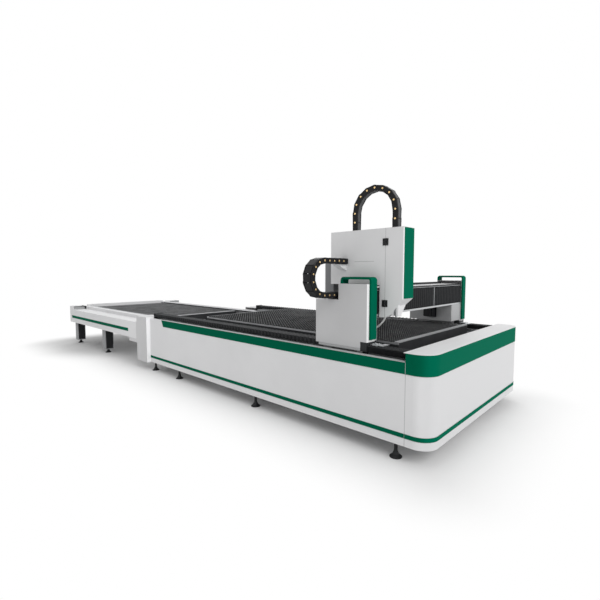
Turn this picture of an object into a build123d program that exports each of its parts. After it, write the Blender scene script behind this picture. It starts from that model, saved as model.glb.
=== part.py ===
from build123d import *
from math import cos, degrees, pi, radians, sin, tan
import os

os.makedirs("parts", exist_ok=True)

# Driving dimensions, in millimetres. +X points to the operator end, -Y to the side with the carriage at rest.

# Layout along the machine: cutting bed, transition posts, pallet exchange station
bed_length = 4600
post_length = 370
exchange_length = 3310
post_proud = 60
post_main_length = 345
post_skirt_length = 640
post_rise = 20
post_drop = 5

# Sheet metal of the bed
sheet = 4
skin = 3
bend_radius = 10
panel_bottom = 140
panel_top = 825
band_height = 92
band_slant = 45
band_start = 380
deck_top = 907
shroud_length = 216
deck_depth = 234
corner_radius = 150
lip_height = 44
flange_width = 55
hem_width = 25
stripe_height = 36
exchange_stripe_height = 52
stripe_level = 227
exchange_stripe_level = 590
exchange_stripe_gap = 305
exchange_stripe_margin = 130

# Welded bed frame
frame_bottom = 190
frame_top = 800
side_beam_depth = 259
side_beam_wall = 16
beam_window_length = 460
beam_window_height = 230
beam_window_count = 6
cross_tube = 120
cross_count = 6
front_setback = 190

# Levelling feet
foot_radius = 55
foot_plate = 8
foot_cone = 22
foot_stem_radius = 15
foot_inset = 63
bed_feet_from_front = (323, 2131)
bed_feet_from_rear = (34, 759)

# Travels
gantry_travel = 3000
carriage_travel = 1600

# Pallets with blade slats, one above the other
pallet_length = 3077
pallet_width = 1670
pallet_side_gap = 95
pallet_front_gap = 473
pallet_end_gap = 80
upper_slat_top = 918
level_drop = 138
slat_height = 80
slat_thickness = 3
slat_pitch = 48
slat_end_gap = 24
pallet_tube = 40
pallet_rib_count = 3
pallet_side_plate = 3
pallet_side_drop = 13
pallet_bar_depth = 46
pallet_bar_drop = 5
pallet_tie_count = 4
wheel_radius = 28
wheel_width = 22
wheel_gap = 6
axle_radius = 10
axle_drop = 96
axle_inset = 420
bearing_clearance = 0.05
track_thickness = 8
track_flange = 89
track_wall = 40
track_start_gap = 6

# Running clearances
slide_clearance = 0.3
face_gap = 0.3

# Long guides on the bed
rail_inset = 133
rail_width = 24
rail_height = 28
rack_offset = 45
rack_width = 30
rack_height = 25
bearing_length = 100
bearing_width = 60
bearing_height = 46
bearing_inset = 25
pinion_radius = 30
pinion_shaft_radius = 12
pinion_teeth = 16
pinion_clearance = 5
pinion_floor_gap = 2
tooth_depth = 5
tooth_root_share = 0.32
tooth_tip_share = 0.16

# Rail bellows
bellows_outward = 60
bellows_inward = 75
bellows_bottom = 842
bellows_top = 895
bellows_fold_depth = 10
bellows_fold_count = 56
bellows_front_fold_count = 18
bellows_end_plate = 12
bellows_clearance = 3
bracket_proud = 5

# Gantry
gantry_home_gap = 603
cover_inset = 61
cover_depth = 125
cover_sheet = 3
cover_length = 607
cover_bottom = 872
cover_front_bottom = 928
cover_front_notch = 73
cover_step_level = 1290
cover_top = 1441
arch_depth = 334
arch_thickness = 22
arch_front_thickness = 18
arch_top = 1503
arch_front_bottom = 950
arch_radius = 34
arch_inset = 30
leg_cover_gap = 3
base_plate_thickness = 26
base_plate_length = 549
near_leg_length = 303
near_leg_width = 164
far_leg_width = 403
far_leg_clearance = 945
beam_bottom = 1150
beam_top = 1401
beam_depth = 240
beam_wall = 12
guide_profile_height = 18
guide_profile_depth = 60
y_rail_width = 24
y_rail_height = 24
y_rail_offset = 55
y_bearing_height = 60
y_bearing_depth = 57
y_bearing_inset = 12
y_rack_setback = 13
y_rack_width = 25
y_rack_height = 24
beam_bellows_far_fold_count = 34
beam_bellows_near_fold_count = 8
beam_bellows_thickness = 32
beam_bellows_gap = 4

# Servo motors
motor_body = 100
small_motor_body = 80
motor_length = 150
motor_flange_margin = 20
motor_flange_thickness = 15
motor_corner = 8
motor_cap_length = 35
motor_cap_inset = 14
x_motor_level = 1061
far_motor_offset = 302

# Carriage with the tall head housing
carriage_home_gap = 187
housing_width = 180
housing_sheet = 3
housing_rear_reach = 557
housing_rear_gap = 5
housing_front_bottom = 1141
housing_top = 1936
housing_front_reach = 212
door_width = 178
chin_setback = 44
chin_top = 1315
chin_low = 1256
door_bottom_front = 1159
door_bottom_mid = 1172
door_slope_start = 12
door_slope_end = 61
door_slope_drop = 3
notch_start = 88
notch_width = 29
notch_height = 64
corner_cut_reach = 62
corner_cut_top = 1309
chain_slot_margin = 9
carriage_plate_thickness = 24
carriage_plate_gap = 5
carriage_plate_bottom = 1140
carriage_shelf_thickness = 16
carriage_shelf_gap = 31
rear_box_length = 112
rear_box_bottom = 1343
rear_box_top = 1630
rear_box_setback = 45
rear_box_width = 90

# Door hinges
hinge_radius = 6
hinge_pin_radius = 3
hinge_leaf = 22
hinge_leaf_gap = 6
hinge_leaf_thickness = 4
hinge_height = 62
hinge_room = 1
hinge_upper = 1813
hinge_lower = 1266

# Head axis
z_rail_width = 16
z_rail_height = 16
z_rail_spacing = 120
z_rail_top = 1560
slide_plate_thickness = 20
slide_plate_gap = 34
grip_gap = 4
slide_plate_width = 150
slide_bottom = 1260
slide_top = 1515
screw_radius = 8
screw_offset = 18
screw_bottom = 1170
screw_foot_height = 20
screw_foot_width = 40
fitting_height = 25
fitting_level = 1215
fitting_wall = 3
hose_radius = 8
hose_offset = 58
hose_arc_share = 0.45
nut_height = 50
nut_width = 40
slide_arm_thickness = 10
slide_arm_foot = 15
z_shelf_level = 1625
z_shelf_thickness = 15
head_block_width = 90
head_block_depth = 90
head_block_bottom = 1280
head_block_top = 1420
collimator_radius = 32
collimator_top = 1490
nozzle_tip = 1138
nozzle_tip_radius = 6
nozzle_radius = 17
nozzle_height = 30
nozzle_neck = 20
cone_top_radius = 34
cone_top = 1230

# Energy chains
chain_pitch = 70
z_chain_pitch = 83
chain_height = 58
chain_plate = 10
chain_joint_gap = 0.6
chain_bar_margin = 9
chain_bar_inset = 4
y_chain_width = 105
y_chain_setback = 37
y_chain_lower = 1336
y_chain_upper = 1650
y_moving_link_count = 5
y_chain_moving_gap = 5
y_bracket_link_count = 2
y_bracket_depth = 60
y_bracket_tip = 6
y_bracket_inset = 20
z_chain_width = 68
z_chain_near_gap = 25
z_chain_arm_gap = 36
z_chain_span = 424
z_chain_arc_level = 2097
z_link_count = 4
z_anchor_thickness = 10
x_chain_width = 120
x_chain_gap = 43
x_chain_lower = 595
x_chain_arm_offset = 197
x_chain_arm_width = 100
x_chain_arm_thickness = 12
strut_rise = 110
strut_tip = 10
strut_thickness = 10
x_fixed_link_count = 2
tray_gap = 3
clamp_length = 40
tray_sheet = 5

# Exchange station
inner_beam_width = 60
inner_beam_bottom = 540
cover_panel_bottom = 470
cover_panel_top = 742
leg_size = 150
leg_bottom = 70
leg_inset = 148
leg_from_end = (156, 1713)
leg_head_plate = 12
end_board_thickness = 50
end_board_top = 830
end_board_gap = 22
corner_block_length = 240
corner_block_top = 815
corner_pocket_depth = 14
corner_pocket_margin = 22
drive_from_post = 90
drive_level = 590
drive_shaft_radius = 15
sprocket_radius = 40
sprocket_width = 16
drive_motor_length = 190

# Scrap trays
tray_count = 3
scrap_tray_height = 110
scrap_tray_wall = 4
scrap_tray_taper = 80

# Places worked out from the sizes
front = (bed_length + post_length + exchange_length) / 2
seam = front - shroud_length
bed_rear = front - bed_length
post_rear = bed_rear - post_length
rear = -front
pallet_half = pallet_width / 2
beam_inner = pallet_half + pallet_side_gap
beam_outer = beam_inner + side_beam_depth
half_width = beam_outer + sheet
band_bottom = panel_top - band_height
beam_front_end = front - front_setback
post_face = half_width + post_proud
rail_y = half_width - rail_inset
rack_y = rail_y - rack_offset
bellows_outer = rail_y + bellows_outward
bellows_inner = rail_y - bellows_inward
cover_half_span = half_width - cover_inset
housing_near = cover_half_span - carriage_home_gap
leg_y = post_face - leg_inset


def block(x0, x1, y0, y1, z0, z1):
    """A box given by its six faces."""
    return Pos((x0 + x1) / 2, (y0 + y1) / 2, (z0 + z1) / 2) * Box(x1 - x0, y1 - y0, z1 - z0)


def prism_xz(outline, y0, y1):
    """An outline in the X-Z plane, drawn out from y0 to y1."""
    plane = Plane(origin=(0, y1, 0), x_dir=(1, 0, 0), z_dir=(0, -1, 0))
    return extrude(plane * outline, amount=y1 - y0)


def prism_yz(outline, x0, x1):
    """An outline in the Y-Z plane, drawn out from x0 to x1."""
    plane = Plane(origin=(x0, 0, 0), x_dir=(0, 1, 0), z_dir=(1, 0, 0))
    return extrude(plane * outline, amount=x1 - x0)


def prism_xy(outline, z0, z1):
    """An outline in the X-Y plane, drawn out from z0 to z1."""
    return extrude(Plane.XY.offset(z0) * outline, amount=z1 - z0)


def polygon(*points):
    """A closed outline with straight sides."""
    return make_face(Polyline(*points, close=True))


def rod_y(x, z, radius, y0, y1):
    """A round bar along Y."""
    return Pos(x, (y0 + y1) / 2, z) * Rot(90, 0, 0) * Cylinder(radius, y1 - y0)


def rod_z(x, y, radius, z0, z1):
    """A round bar along Z."""
    return Pos(x, y, (z0 + z1) / 2) * Cylinder(radius, z1 - z0)


def far(shape):
    """The mirror image of a near-side piece, on the far side."""
    return mirror(shape, about=Plane.XZ)


def both(shape):
    """A near-side piece and its mirror image."""
    return [shape, far(shape)]


def link_pitch(radius, nominal):
    """The pitch near the nominal one that fits whole links into half a turn."""
    return 2 * radius * sin(pi / round(pi * radius / nominal) / 2)


def save(name, pieces):
    """Writes one node; separate pieces stay separate solids."""
    if not isinstance(pieces, list):
        pieces = [pieces]
    solids = [solid for piece in pieces for solid in piece.solids()]
    shape = solids[0] if len(solids) == 1 else Compound(children=solids)
    export_step(shape, f"parts/{name}.step")


# Bed frame: two long box beams, welded from plates, joined by cross tubes

def side_beam():
    """Top and bottom plates, two webs with a row of windows between them, and an end plate at each end."""
    web_bottom = frame_bottom + side_beam_wall
    web_top = frame_top - side_beam_wall
    plates = [block(bed_rear, beam_front_end, -beam_outer, -beam_inner, frame_bottom, web_bottom),
              block(bed_rear, beam_front_end, -beam_outer, -beam_inner, web_top, frame_top)]
    for x in (bed_rear, beam_front_end - side_beam_wall):
        plates.append(block(x, x + side_beam_wall, -beam_outer + side_beam_wall, -beam_inner - side_beam_wall,
                            web_bottom, web_top))
    pitch = (beam_front_end - bed_rear) / beam_window_count
    level = (frame_bottom + frame_top) / 2
    for y in (-beam_outer, -beam_inner - side_beam_wall):
        web = block(bed_rear, beam_front_end, y, y + side_beam_wall, web_bottom, web_top)
        for number in range(beam_window_count):
            x = bed_rear + (number + 0.5) * pitch
            web -= block(x - beam_window_length / 2, x + beam_window_length / 2,
                         y - sheet, y + side_beam_wall + sheet,
                         level - beam_window_height / 2, level + beam_window_height / 2)
        plates.append(web)
    return plates


near_beam = side_beam()
save("bed_side_beams", near_beam + [far(plate) for plate in near_beam])

cross_levels = frame_bottom + cross_tube
cross_pitch = (beam_front_end - bed_rear - cross_tube) / (cross_count - 1)
cross_members = []
for number in range(cross_count):
    x = bed_rear + number * cross_pitch
    cross_members.append(block(x, x + cross_tube, -beam_inner, beam_inner, frame_bottom, cross_levels))
front_strut_y = beam_inner / 2
strut = block(beam_front_end, front - sheet, -front_strut_y - cross_tube / 2, -front_strut_y + cross_tube / 2,
              frame_bottom, cross_levels)
cross_members += both(strut)
save("bed_cross_members", cross_members)

# Side panels: a sheet folded over at the top and bottom

def side_panel():
    """A panel with a flange over the beam and a hem below."""
    panel = block(bed_rear, seam, -half_width, -half_width + sheet, panel_bottom, panel_top)
    panel += block(bed_rear, seam, -half_width, -half_width + flange_width, panel_top - sheet, panel_top)
    panel += block(bed_rear, seam, -half_width, -half_width + hem_width, panel_bottom, panel_bottom + sheet)
    return panel


save("side_panels", both(side_panel()))

# Front shroud: one sheet bent round both front corners

def u_sheet(outward, thickness, z0, z1):
    """A sheet in plan from seam to seam round the front, its outer face set outward."""
    radius = corner_radius + outward
    edge_y = half_width + outward
    edge_x = front + outward
    outer = RectangleRounded(2 * (edge_x - seam), 2 * edge_y, radius)
    inner = RectangleRounded(2 * (edge_x - seam - thickness), 2 * (edge_y - thickness), radius - thickness)
    ring = Pos(seam, 0) * (outer - inner)
    keep = Pos(seam + edge_x / 2, 0) * Rectangle(edge_x, 2 * edge_y)
    return prism_xy(ring & keep, z0, z1)


shroud_top = deck_top - sheet
save("front_shroud", u_sheet(0, sheet, panel_bottom, shroud_top))

# Green bands: skins on the side panels, with a slanted rear end, and round the front

def side_band():
    """The skin on the face and its narrow fold on the flange."""
    start = bed_rear + band_start
    slant_end = start + band_slant
    outline = polygon((start, panel_top), (seam, panel_top), (seam, band_bottom), (slant_end, band_bottom))
    face = prism_xz(outline, -half_width - skin, -half_width)
    top = block(start, seam, -half_width - skin, -half_width + flange_width, panel_top, panel_top + skin)
    return face + top


save("green_bands", both(side_band()) + [u_sheet(skin, skin, band_bottom, shroud_top)])

# Front deck: a flat cover with a lip turned down along its inner edge
deck_outline = RectangleRounded(2 * (front + skin - seam), 2 * (half_width + skin), corner_radius + skin)
deck_outline = Pos(seam, 0) * deck_outline
deck_rear = front - deck_depth
deck_outline &= Pos(deck_rear + front / 2, 0) * Rectangle(front, 2 * half_width + corner_radius)
deck = prism_xy(deck_outline, shroud_top, deck_top)
deck += block(deck_rear, deck_rear + sheet, -half_width + flange_width, half_width - flange_width,
              deck_top - lip_height, deck_top)
save("front_deck", deck)

# Green pin stripes low on the bed and along the exchange covers
stripe_z = (stripe_level - stripe_height / 2, stripe_level + stripe_height / 2)
bed_stripe = block(bed_rear + sheet, seam - sheet, -half_width - skin, -half_width, *stripe_z)
exchange_stripe = block(
    rear + exchange_stripe_margin, post_rear - exchange_stripe_gap, -post_face - skin, -post_face,
    exchange_stripe_level - exchange_stripe_height / 2, exchange_stripe_level + exchange_stripe_height / 2,
)
save("trim_stripes", both(bed_stripe) + both(exchange_stripe))

# Transition posts: stepped box covers that stand proud between bed and exchange station
post_main_rear = bed_rear - post_main_length
post_top = panel_top + post_rise
post_foot = panel_bottom - post_drop
post_outline = polygon(
    (post_main_rear, post_foot), (bed_rear, post_foot), (bed_rear, post_top), (post_main_rear, post_top),
    (post_main_rear, cover_panel_top), (post_rear, cover_panel_top),
    (post_rear, cover_panel_bottom - post_proud), (post_main_rear, cover_panel_bottom - post_proud),
)
post_inner = beam_inner + inner_beam_width
post = prism_xz(post_outline, -post_face, -post_inner)
post -= prism_xz(offset(post_outline, -sheet), -post_face + sheet, -post_inner + sheet)
post += block(bed_rear - post_skirt_length, post_rear, -post_face, -post_face + sheet,
              cover_panel_bottom - post_proud, cover_panel_bottom)
save("transition_posts", both(post))

# Levelling feet under the bed and the exchange legs

def foot(x, y, top):
    """A round pad with a cone, and the stem that screws up into the frame."""
    outline = polygon(
        (0, 0), (foot_radius, 0), (foot_radius, foot_plate), (foot_stem_radius, foot_cone),
        (foot_stem_radius, top), (0, top),
    )
    return Pos(x, y, 0) * revolve(Plane.XZ * outline, Axis.Z)


feet = []
foot_places = [front - distance for distance in bed_feet_from_front]
foot_places += [bed_rear + distance for distance in bed_feet_from_rear]
for x in foot_places:
    feet += both(foot(x, -half_width + foot_inset, frame_bottom))
for distance in leg_from_end:
    feet += both(foot(rear + distance, -leg_y, leg_bottom))
save("leveling_feet", feet)

# Long guide rails with their racks, on top of the side beams
rail_start = bed_rear + bellows_end_plate
rail_end = deck_rear - bellows_end_plate
rail = block(rail_start, rail_end, -rail_y - rail_width / 2, -rail_y + rail_width / 2,
             frame_top, frame_top + rail_height)
rack = block(rail_start, rail_end, -rack_y - rack_width / 2, -rack_y + rack_width / 2,
             frame_top, frame_top + rack_height)
save("x_rails", both(rail) + both(rack))

# Bellows: each fold swells and shrinks in section, so the top and both sides are pleated

def fold_marks(start, end, folds, depth):
    """Where the cloth turns along a bellows, and how far it lies in from the ridges there."""
    pitch = (end - start) / (2 * folds)
    return [(start + number * pitch, depth * (number % 2)) for number in range(2 * folds + 1)]


def pleated_x(x0, x1, y0, y1, z0, z1, folds, depth):
    """A pleated block along X; its underside stays flat."""
    marks = fold_marks(x0, x1, folds, depth)
    top = [(x, z1 - inset) for x, inset in marks]
    right = [(x, y0 + inset) for x, inset in marks]
    left = [(x, y1 - inset) for x, inset in marks]
    lengthwise = prism_xz(polygon((x0, z0), *top, (x1, z0)), y0, y1)
    return lengthwise & prism_xy(polygon(*right, *left[::-1]), z0, z1)


def pleated_y(y0, y1, x0, x1, z0, z1, folds, depth):
    """A pleated block along Y; its back stays flat."""
    marks = fold_marks(y0, y1, folds, depth)
    outside = [(x1 - inset, y) for y, inset in marks]
    lower = [(y, z0 + inset) for y, inset in marks]
    upper = [(y, z1 - inset) for y, inset in marks]
    lengthwise = prism_xy(polygon((x0, y0), *outside, (x0, y1)), z0, z1)
    return lengthwise & prism_yz(polygon(*lower, *upper[::-1]), x0, x1)


arch_face = front - gantry_home_gap
cover_front = arch_face - arch_front_thickness
cover_rear = arch_face - cover_length
base_front = cover_front - cover_sheet - leg_cover_gap
base_rear = base_front - base_plate_length
base_level = frame_top + bearing_height

bracket = block(bed_rear, rail_start, -bellows_outer - bracket_proud, -bellows_inner + bracket_proud,
                frame_top, bellows_top + bracket_proud)
front_bracket = block(rail_end, deck_rear, -bellows_outer, -bellows_inner, frame_top, bellows_top)
save("bellows_brackets", both(bracket) + both(front_bracket))

rear_bellows = pleated_x(rail_start + face_gap, base_rear - face_gap, -bellows_outer, -bellows_inner,
                         bellows_bottom, bellows_top, bellows_fold_count, bellows_fold_depth)
save("x_bellows_rear", both(rear_bellows))
front_bellows = pleated_x(base_front + face_gap, rail_end - face_gap, -bellows_outer, -bellows_inner,
                          bellows_bottom, bellows_top, bellows_front_fold_count, bellows_fold_depth)
save("x_bellows_front", both(front_bellows))

# Pallet tracks: angles on the inner faces of the beams, at two levels
axle_level = upper_slat_top - axle_drop
upper_track = axle_level - wheel_radius
lower_track = upper_track - level_drop
track_end = front - pallet_front_gap + track_start_gap
track_inner = beam_inner - track_flange


def track(level):
    """An angle whose flat leg carries the wheels."""
    start = rear + end_board_thickness
    flat = block(start, track_end, -beam_inner, -track_inner, level - track_thickness, level)
    wall = block(start, track_end, -beam_inner, -beam_inner + track_thickness, level - track_wall, level)
    return flat + wall


save("pallet_tracks", both(track(upper_track)) + both(track(lower_track)))

# Scrap trays: open hoppers with sloping sides, on the cross tubes
def hopper(length, width, bottom, inset):
    """A four-sided hopper body, drawn in by the same amount on each side of its outline."""
    floor = Rectangle(length - scrap_tray_taper - 2 * inset, width - scrap_tray_taper - 2 * inset)
    rim = Rectangle(length - 2 * inset, width - 2 * inset)
    return loft([Plane.XY.offset(bottom) * floor, Plane.XY.offset(bottom + scrap_tray_height) * rim])


tray_bay = (beam_front_end - bed_rear) / tray_count
tray_length = tray_bay - 2 * scrap_tray_taper
tray_width = 2 * (beam_inner - scrap_tray_taper)
scrap_tray = hopper(tray_length, tray_width, cross_levels, 0)
scrap_tray -= hopper(tray_length, tray_width, cross_levels + scrap_tray_wall, scrap_tray_wall)
scrap_trays = [Pos(bed_rear + (number + 0.5) * tray_bay, 0, 0) * scrap_tray for number in range(tray_count)]
save("scrap_trays", scrap_trays)

# Exchange station: inner beams that carry the tracks, tied by cross tubes
drive_x = post_rear - drive_from_post
inner_beam = block(rear, bed_rear, -beam_inner - inner_beam_width, -beam_inner, inner_beam_bottom, frame_top)
shaft_bore = drive_shaft_radius + bearing_clearance
inner_beam -= rod_y(drive_x, drive_level, shaft_bore, -post_face, -beam_inner + sheet)
exchange_frame = both(inner_beam)
tie_pitch = (bed_rear - rear - cross_tube) / (cross_count - 1)
tie_top = lower_track - pallet_tube - wheel_radius
for number in range(cross_count):
    x = rear + number * tie_pitch
    exchange_frame.append(block(x, x + cross_tube, -beam_inner, beam_inner, inner_beam_bottom, tie_top))
outrigger_outer = -post_face + sheet
outrigger_inner = outrigger_outer + inner_beam_width
exchange_frame += both(block(rear, post_rear, outrigger_outer, outrigger_inner, inner_beam_bottom, tie_top))
for distance in leg_from_end:
    x = rear + distance
    rung = block(x - cross_tube / 2, x + cross_tube / 2, outrigger_inner, -beam_inner - inner_beam_width,
                 inner_beam_bottom, tie_top)
    exchange_frame += both(rung)
save("exchange_frame", exchange_frame)


def exchange_cover():
    """A side panel with a wide flange over the top and a hem below."""
    inner_edge = -beam_inner - inner_beam_width
    panel = block(rear, post_rear, -post_face, -post_face + sheet, cover_panel_bottom, cover_panel_top)
    panel += block(rear, post_rear, -post_face, inner_edge, cover_panel_top - sheet, cover_panel_top)
    panel += block(rear, post_rear, -post_face, -post_face + flange_width,
                   cover_panel_bottom, cover_panel_bottom + sheet)
    return panel


save("exchange_side_covers", both(exchange_cover()))

# End board across the rear and a covered corner block at each side of it
end_board_half = beam_inner - end_board_gap
end_board = block(rear, rear + end_board_thickness, -end_board_half, end_board_half,
                  tie_top, end_board_top)
corner = block(rear, rear + corner_block_length, -post_face, -beam_inner - inner_beam_width,
               cover_panel_top, corner_block_top)
corner -= block(
    rear + corner_pocket_margin, rear + corner_block_length - corner_pocket_margin,
    -post_face + corner_pocket_margin, -beam_inner - inner_beam_width - corner_pocket_margin,
    corner_block_top - corner_pocket_depth, corner_block_top + corner_pocket_depth,
)
save("exchange_end_covers", [end_board] + both(corner))

# Exchange legs: square columns with a head plate
legs = []
for distance in leg_from_end:
    x = rear + distance
    leg = block(x - leg_size / 2, x + leg_size / 2, -leg_y - leg_size / 2, -leg_y + leg_size / 2,
                leg_bottom, inner_beam_bottom)
    leg += block(x - leg_size, x + leg_size, -leg_y - leg_size / 2, -leg_y + leg_size / 2,
                 inner_beam_bottom - leg_head_plate, inner_beam_bottom)
    legs += both(leg)
save("exchange_legs", legs)

# Exchange drive: a cross shaft with two sprockets, turned by a motor beside the frame
sprocket_y = beam_inner - track_flange / 2
shaft_far_end = beam_inner + inner_beam_width
shaft_half = beam_inner + inner_beam_width - face_gap
drive_shaft = rod_y(drive_x, drive_level, drive_shaft_radius, -shaft_half, shaft_half)
for side in (-1, 1):
    drive_shaft += rod_y(drive_x, drive_level, sprocket_radius,
                         side * sprocket_y - sprocket_width / 2, side * sprocket_y + sprocket_width / 2)
save("exchange_drive_shaft", drive_shaft)

drive_motor = block(drive_x - motor_body / 2, drive_x + motor_body / 2,
                    shaft_far_end, shaft_far_end + drive_motor_length,
                    drive_level - motor_body / 2, drive_level + motor_body / 2)
save("exchange_drive_motor", drive_motor)

# Pallets


def pallet_frame(x0, top):
    """A ladder of welded tubes between side plates and end bars; the blades stand on it."""
    x1 = x0 + pallet_length
    rear_bar = x0 + pallet_bar_depth
    front_bar = x1 - pallet_bar_depth
    seat = top - slat_height
    bottom = seat - pallet_tube
    plate_outer = -pallet_half - pallet_side_plate
    side_plate = block(x0, x1, plate_outer, -pallet_half, bottom, top - pallet_side_drop)
    side_tube = block(rear_bar, front_bar, -pallet_half, -pallet_half + pallet_tube, bottom, seat)
    rib_pitch = (pallet_width - pallet_tube) / (pallet_rib_count + 1)
    bored = both(side_plate) + both(side_tube)
    for number in range(pallet_rib_count):
        y = -pallet_half + (number + 1) * rib_pitch
        bored.append(block(rear_bar, front_bar, y, y + pallet_tube, bottom, seat))
    reach = -plate_outer + sheet
    for x in axle_places(x0):
        bore = rod_y(x, top - axle_drop, axle_radius + bearing_clearance, -reach, reach)
        bored = [tube - bore for tube in bored]
    crossing = [block(x, x + pallet_bar_depth, -pallet_half, pallet_half, bottom, top - pallet_bar_drop)
                for x in (x0, front_bar)]
    for number in range(pallet_tie_count):
        x = x0 + (number + 1) * pallet_length / (pallet_tie_count + 1)
        for bay in range(pallet_rib_count + 1):
            y0 = -pallet_half + pallet_tube + bay * rib_pitch
            y1 = y0 + rib_pitch - pallet_tube
            crossing.append(block(x - pallet_tube / 2, x + pallet_tube / 2, y0, y1, bottom, seat))
    return bored + crossing


def axle_places(x0):
    """Where the two axles of a pallet lie."""
    return (x0 + axle_inset, x0 + pallet_length - axle_inset)


def slats(x0, top):
    """Blades across the pallet, all alike."""
    run = pallet_length - 2 * pallet_bar_depth - 2 * slat_end_gap
    count = int(run // slat_pitch) + 1
    first = x0 + (pallet_length - (count - 1) * slat_pitch) / 2
    blade = block(-slat_thickness / 2, slat_thickness / 2, -pallet_half, pallet_half, top - slat_height, top)
    return [Pos(first + number * slat_pitch, 0, 0) * blade for number in range(count)]


def wheelset(x, level):
    """A through axle with a flanged wheel at each end."""
    inner_face = pallet_half + pallet_side_plate + wheel_gap
    outer_face = inner_face + wheel_width
    shape = rod_y(x, level, axle_radius, -outer_face, outer_face)
    for y0, y1 in ((-outer_face, -inner_face), (inner_face, outer_face)):
        shape += rod_y(x, level, wheel_radius - face_gap, y0, y1)
    return shape


upper_front = front - pallet_front_gap
upper_rear = upper_front - pallet_length
lower_rear = rear + end_board_thickness + pallet_end_gap
lower_slat_top = upper_slat_top - level_drop
for name, start, top in (("upper", upper_rear, upper_slat_top), ("lower", lower_rear, lower_slat_top)):
    save(f"{name}_pallet_frame", pallet_frame(start, top))
    save(f"{name}_pallet_slats", slats(start, top))
    rear_axle, front_axle = axle_places(start)
    save(f"{name}_wheelset_rear", wheelset(rear_axle, top - axle_drop))
    save(f"{name}_wheelset_front", wheelset(front_axle, top - axle_drop))

# Gantry: a box beam welded from four plates
beam_front = cover_front - cover_sheet - guide_profile_depth
beam_back = beam_front - beam_depth
beam_end = cover_half_span - cover_sheet
beam_plates = [block(beam_back, beam_front, -beam_end, beam_end, low, low + beam_wall)
               for low in (beam_bottom, beam_top - beam_wall)]
beam_plates += [block(x, x + beam_wall, -beam_end, beam_end, beam_bottom + beam_wall, beam_top - beam_wall)
                for x in (beam_back, beam_front - beam_wall)]
save("gantry_beam", beam_plates)

# Legs: a base plate on four bearing blocks, and a column up to the beam
base_top = base_level + base_plate_thickness
pinion_x = base_front - near_leg_length / 2


def leg_base():
    """The plate over the rail, with a grooved bearing block at each end."""
    plate = block(base_rear, base_front, -beam_end, -bellows_inner, base_level, base_top)
    for x in (base_rear + bearing_inset, base_front - bearing_inset - bearing_length):
        plate += block(x, x + bearing_length, -rail_y - bearing_width / 2, -rail_y + bearing_width / 2,
                       frame_top + rail_height / 2, base_level)
        plate -= block(x, x + bearing_length,
                       -rail_y - rail_width / 2 - slide_clearance, -rail_y + rail_width / 2 + slide_clearance,
                       frame_top, frame_top + rail_height + slide_clearance)
    return plate


def pinion_room():
    """The pocket over the rack that the pinion turns in, and the bore of its shaft."""
    axis_level = frame_top + rack_height + pinion_radius
    reach = pinion_radius + pinion_clearance
    half_room = rack_width / 2 + pinion_clearance
    pocket = block(pinion_x - reach, pinion_x + reach, -rack_y - half_room, -rack_y + half_room,
                   frame_top, axis_level + reach)
    bore = rod_y(pinion_x, axis_level, pinion_shaft_radius + bearing_clearance, -rail_y, -rack_y)
    return pocket + bore


near_column = block(base_front - near_leg_length, base_front, -beam_end, -beam_end + near_leg_width,
                    base_top, beam_bottom)
far_column = block(base_rear, base_front, bellows_inner, beam_end, base_top, beam_bottom)
far_column += block(base_rear, base_front, beam_end - far_leg_width, beam_end, far_leg_clearance, beam_bottom)
near_leg = leg_base() + near_column - pinion_room()
far_leg = far(leg_base()) + far_column - far(pinion_room())

# Arm that carries the long energy chain at the far side, with its diagonal strut
arm_rear = arch_face - x_chain_arm_offset - x_chain_arm_width
arm_front = arm_rear + x_chain_arm_width
x_chain_near_y = post_face + x_chain_gap
x_chain_far = x_chain_near_y + x_chain_width
arm_top = base_level + x_chain_arm_thickness
arm = block(arm_rear, arm_front, beam_end, x_chain_far, base_level, arm_top)
strut_outline = polygon(
    (cover_half_span, arm_top), (x_chain_far, arm_top), (x_chain_far, arm_top + strut_tip),
    (cover_half_span, arm_top + strut_rise),
)
arm_mid = (arm_rear + arm_front) / 2
arm += prism_yz(strut_outline, arm_mid - strut_thickness / 2, arm_mid + strut_thickness / 2)
save("gantry_legs", [near_leg, far_leg, arm])

# End covers: stepped trays over the beam ends and motors, open to the inside and below


def front_bends(shape):
    """The upright edge where the near face of a cover bends round to its front."""
    return shape.edges().filter_by(Axis.Z).group_by(Axis.Y)[0].sort_by(Axis.X)[-1:]


cover_step = arch_face - arch_depth
cover_outline = polygon(
    (cover_rear, cover_bottom), (cover_rear, cover_step_level), (cover_step, cover_step_level),
    (cover_step, cover_top), (cover_front, cover_top), (cover_front, cover_front_bottom),
    (cover_front - cover_front_notch, cover_front_bottom), (cover_front - cover_front_notch, cover_bottom),
)
end_cover = prism_xz(cover_outline, -cover_half_span, -cover_half_span + cover_depth)
end_cover = fillet(front_bends(end_cover), bend_radius)
room = offset(cover_outline, -cover_sheet)
end_cover -= prism_xz(room, -cover_half_span + cover_sheet, -cover_half_span + cover_depth + cover_sheet)
end_cover -= block(cover_rear + cover_sheet, cover_front - cover_sheet,
                   -cover_half_span + cover_sheet, -cover_depth,
                   cover_bottom - cover_sheet, cover_front_bottom + cover_sheet)
end_cover -= block(cover_rear - sheet, cover_rear + sheet, -bellows_outer - bellows_clearance, -cover_depth,
                   cover_bottom - sheet, bellows_top + bellows_clearance)
save("end_cover_near", end_cover)
save("end_cover_far", far(end_cover))

# Green arches: a strap bent over the top and down the front of each end cover

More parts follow.
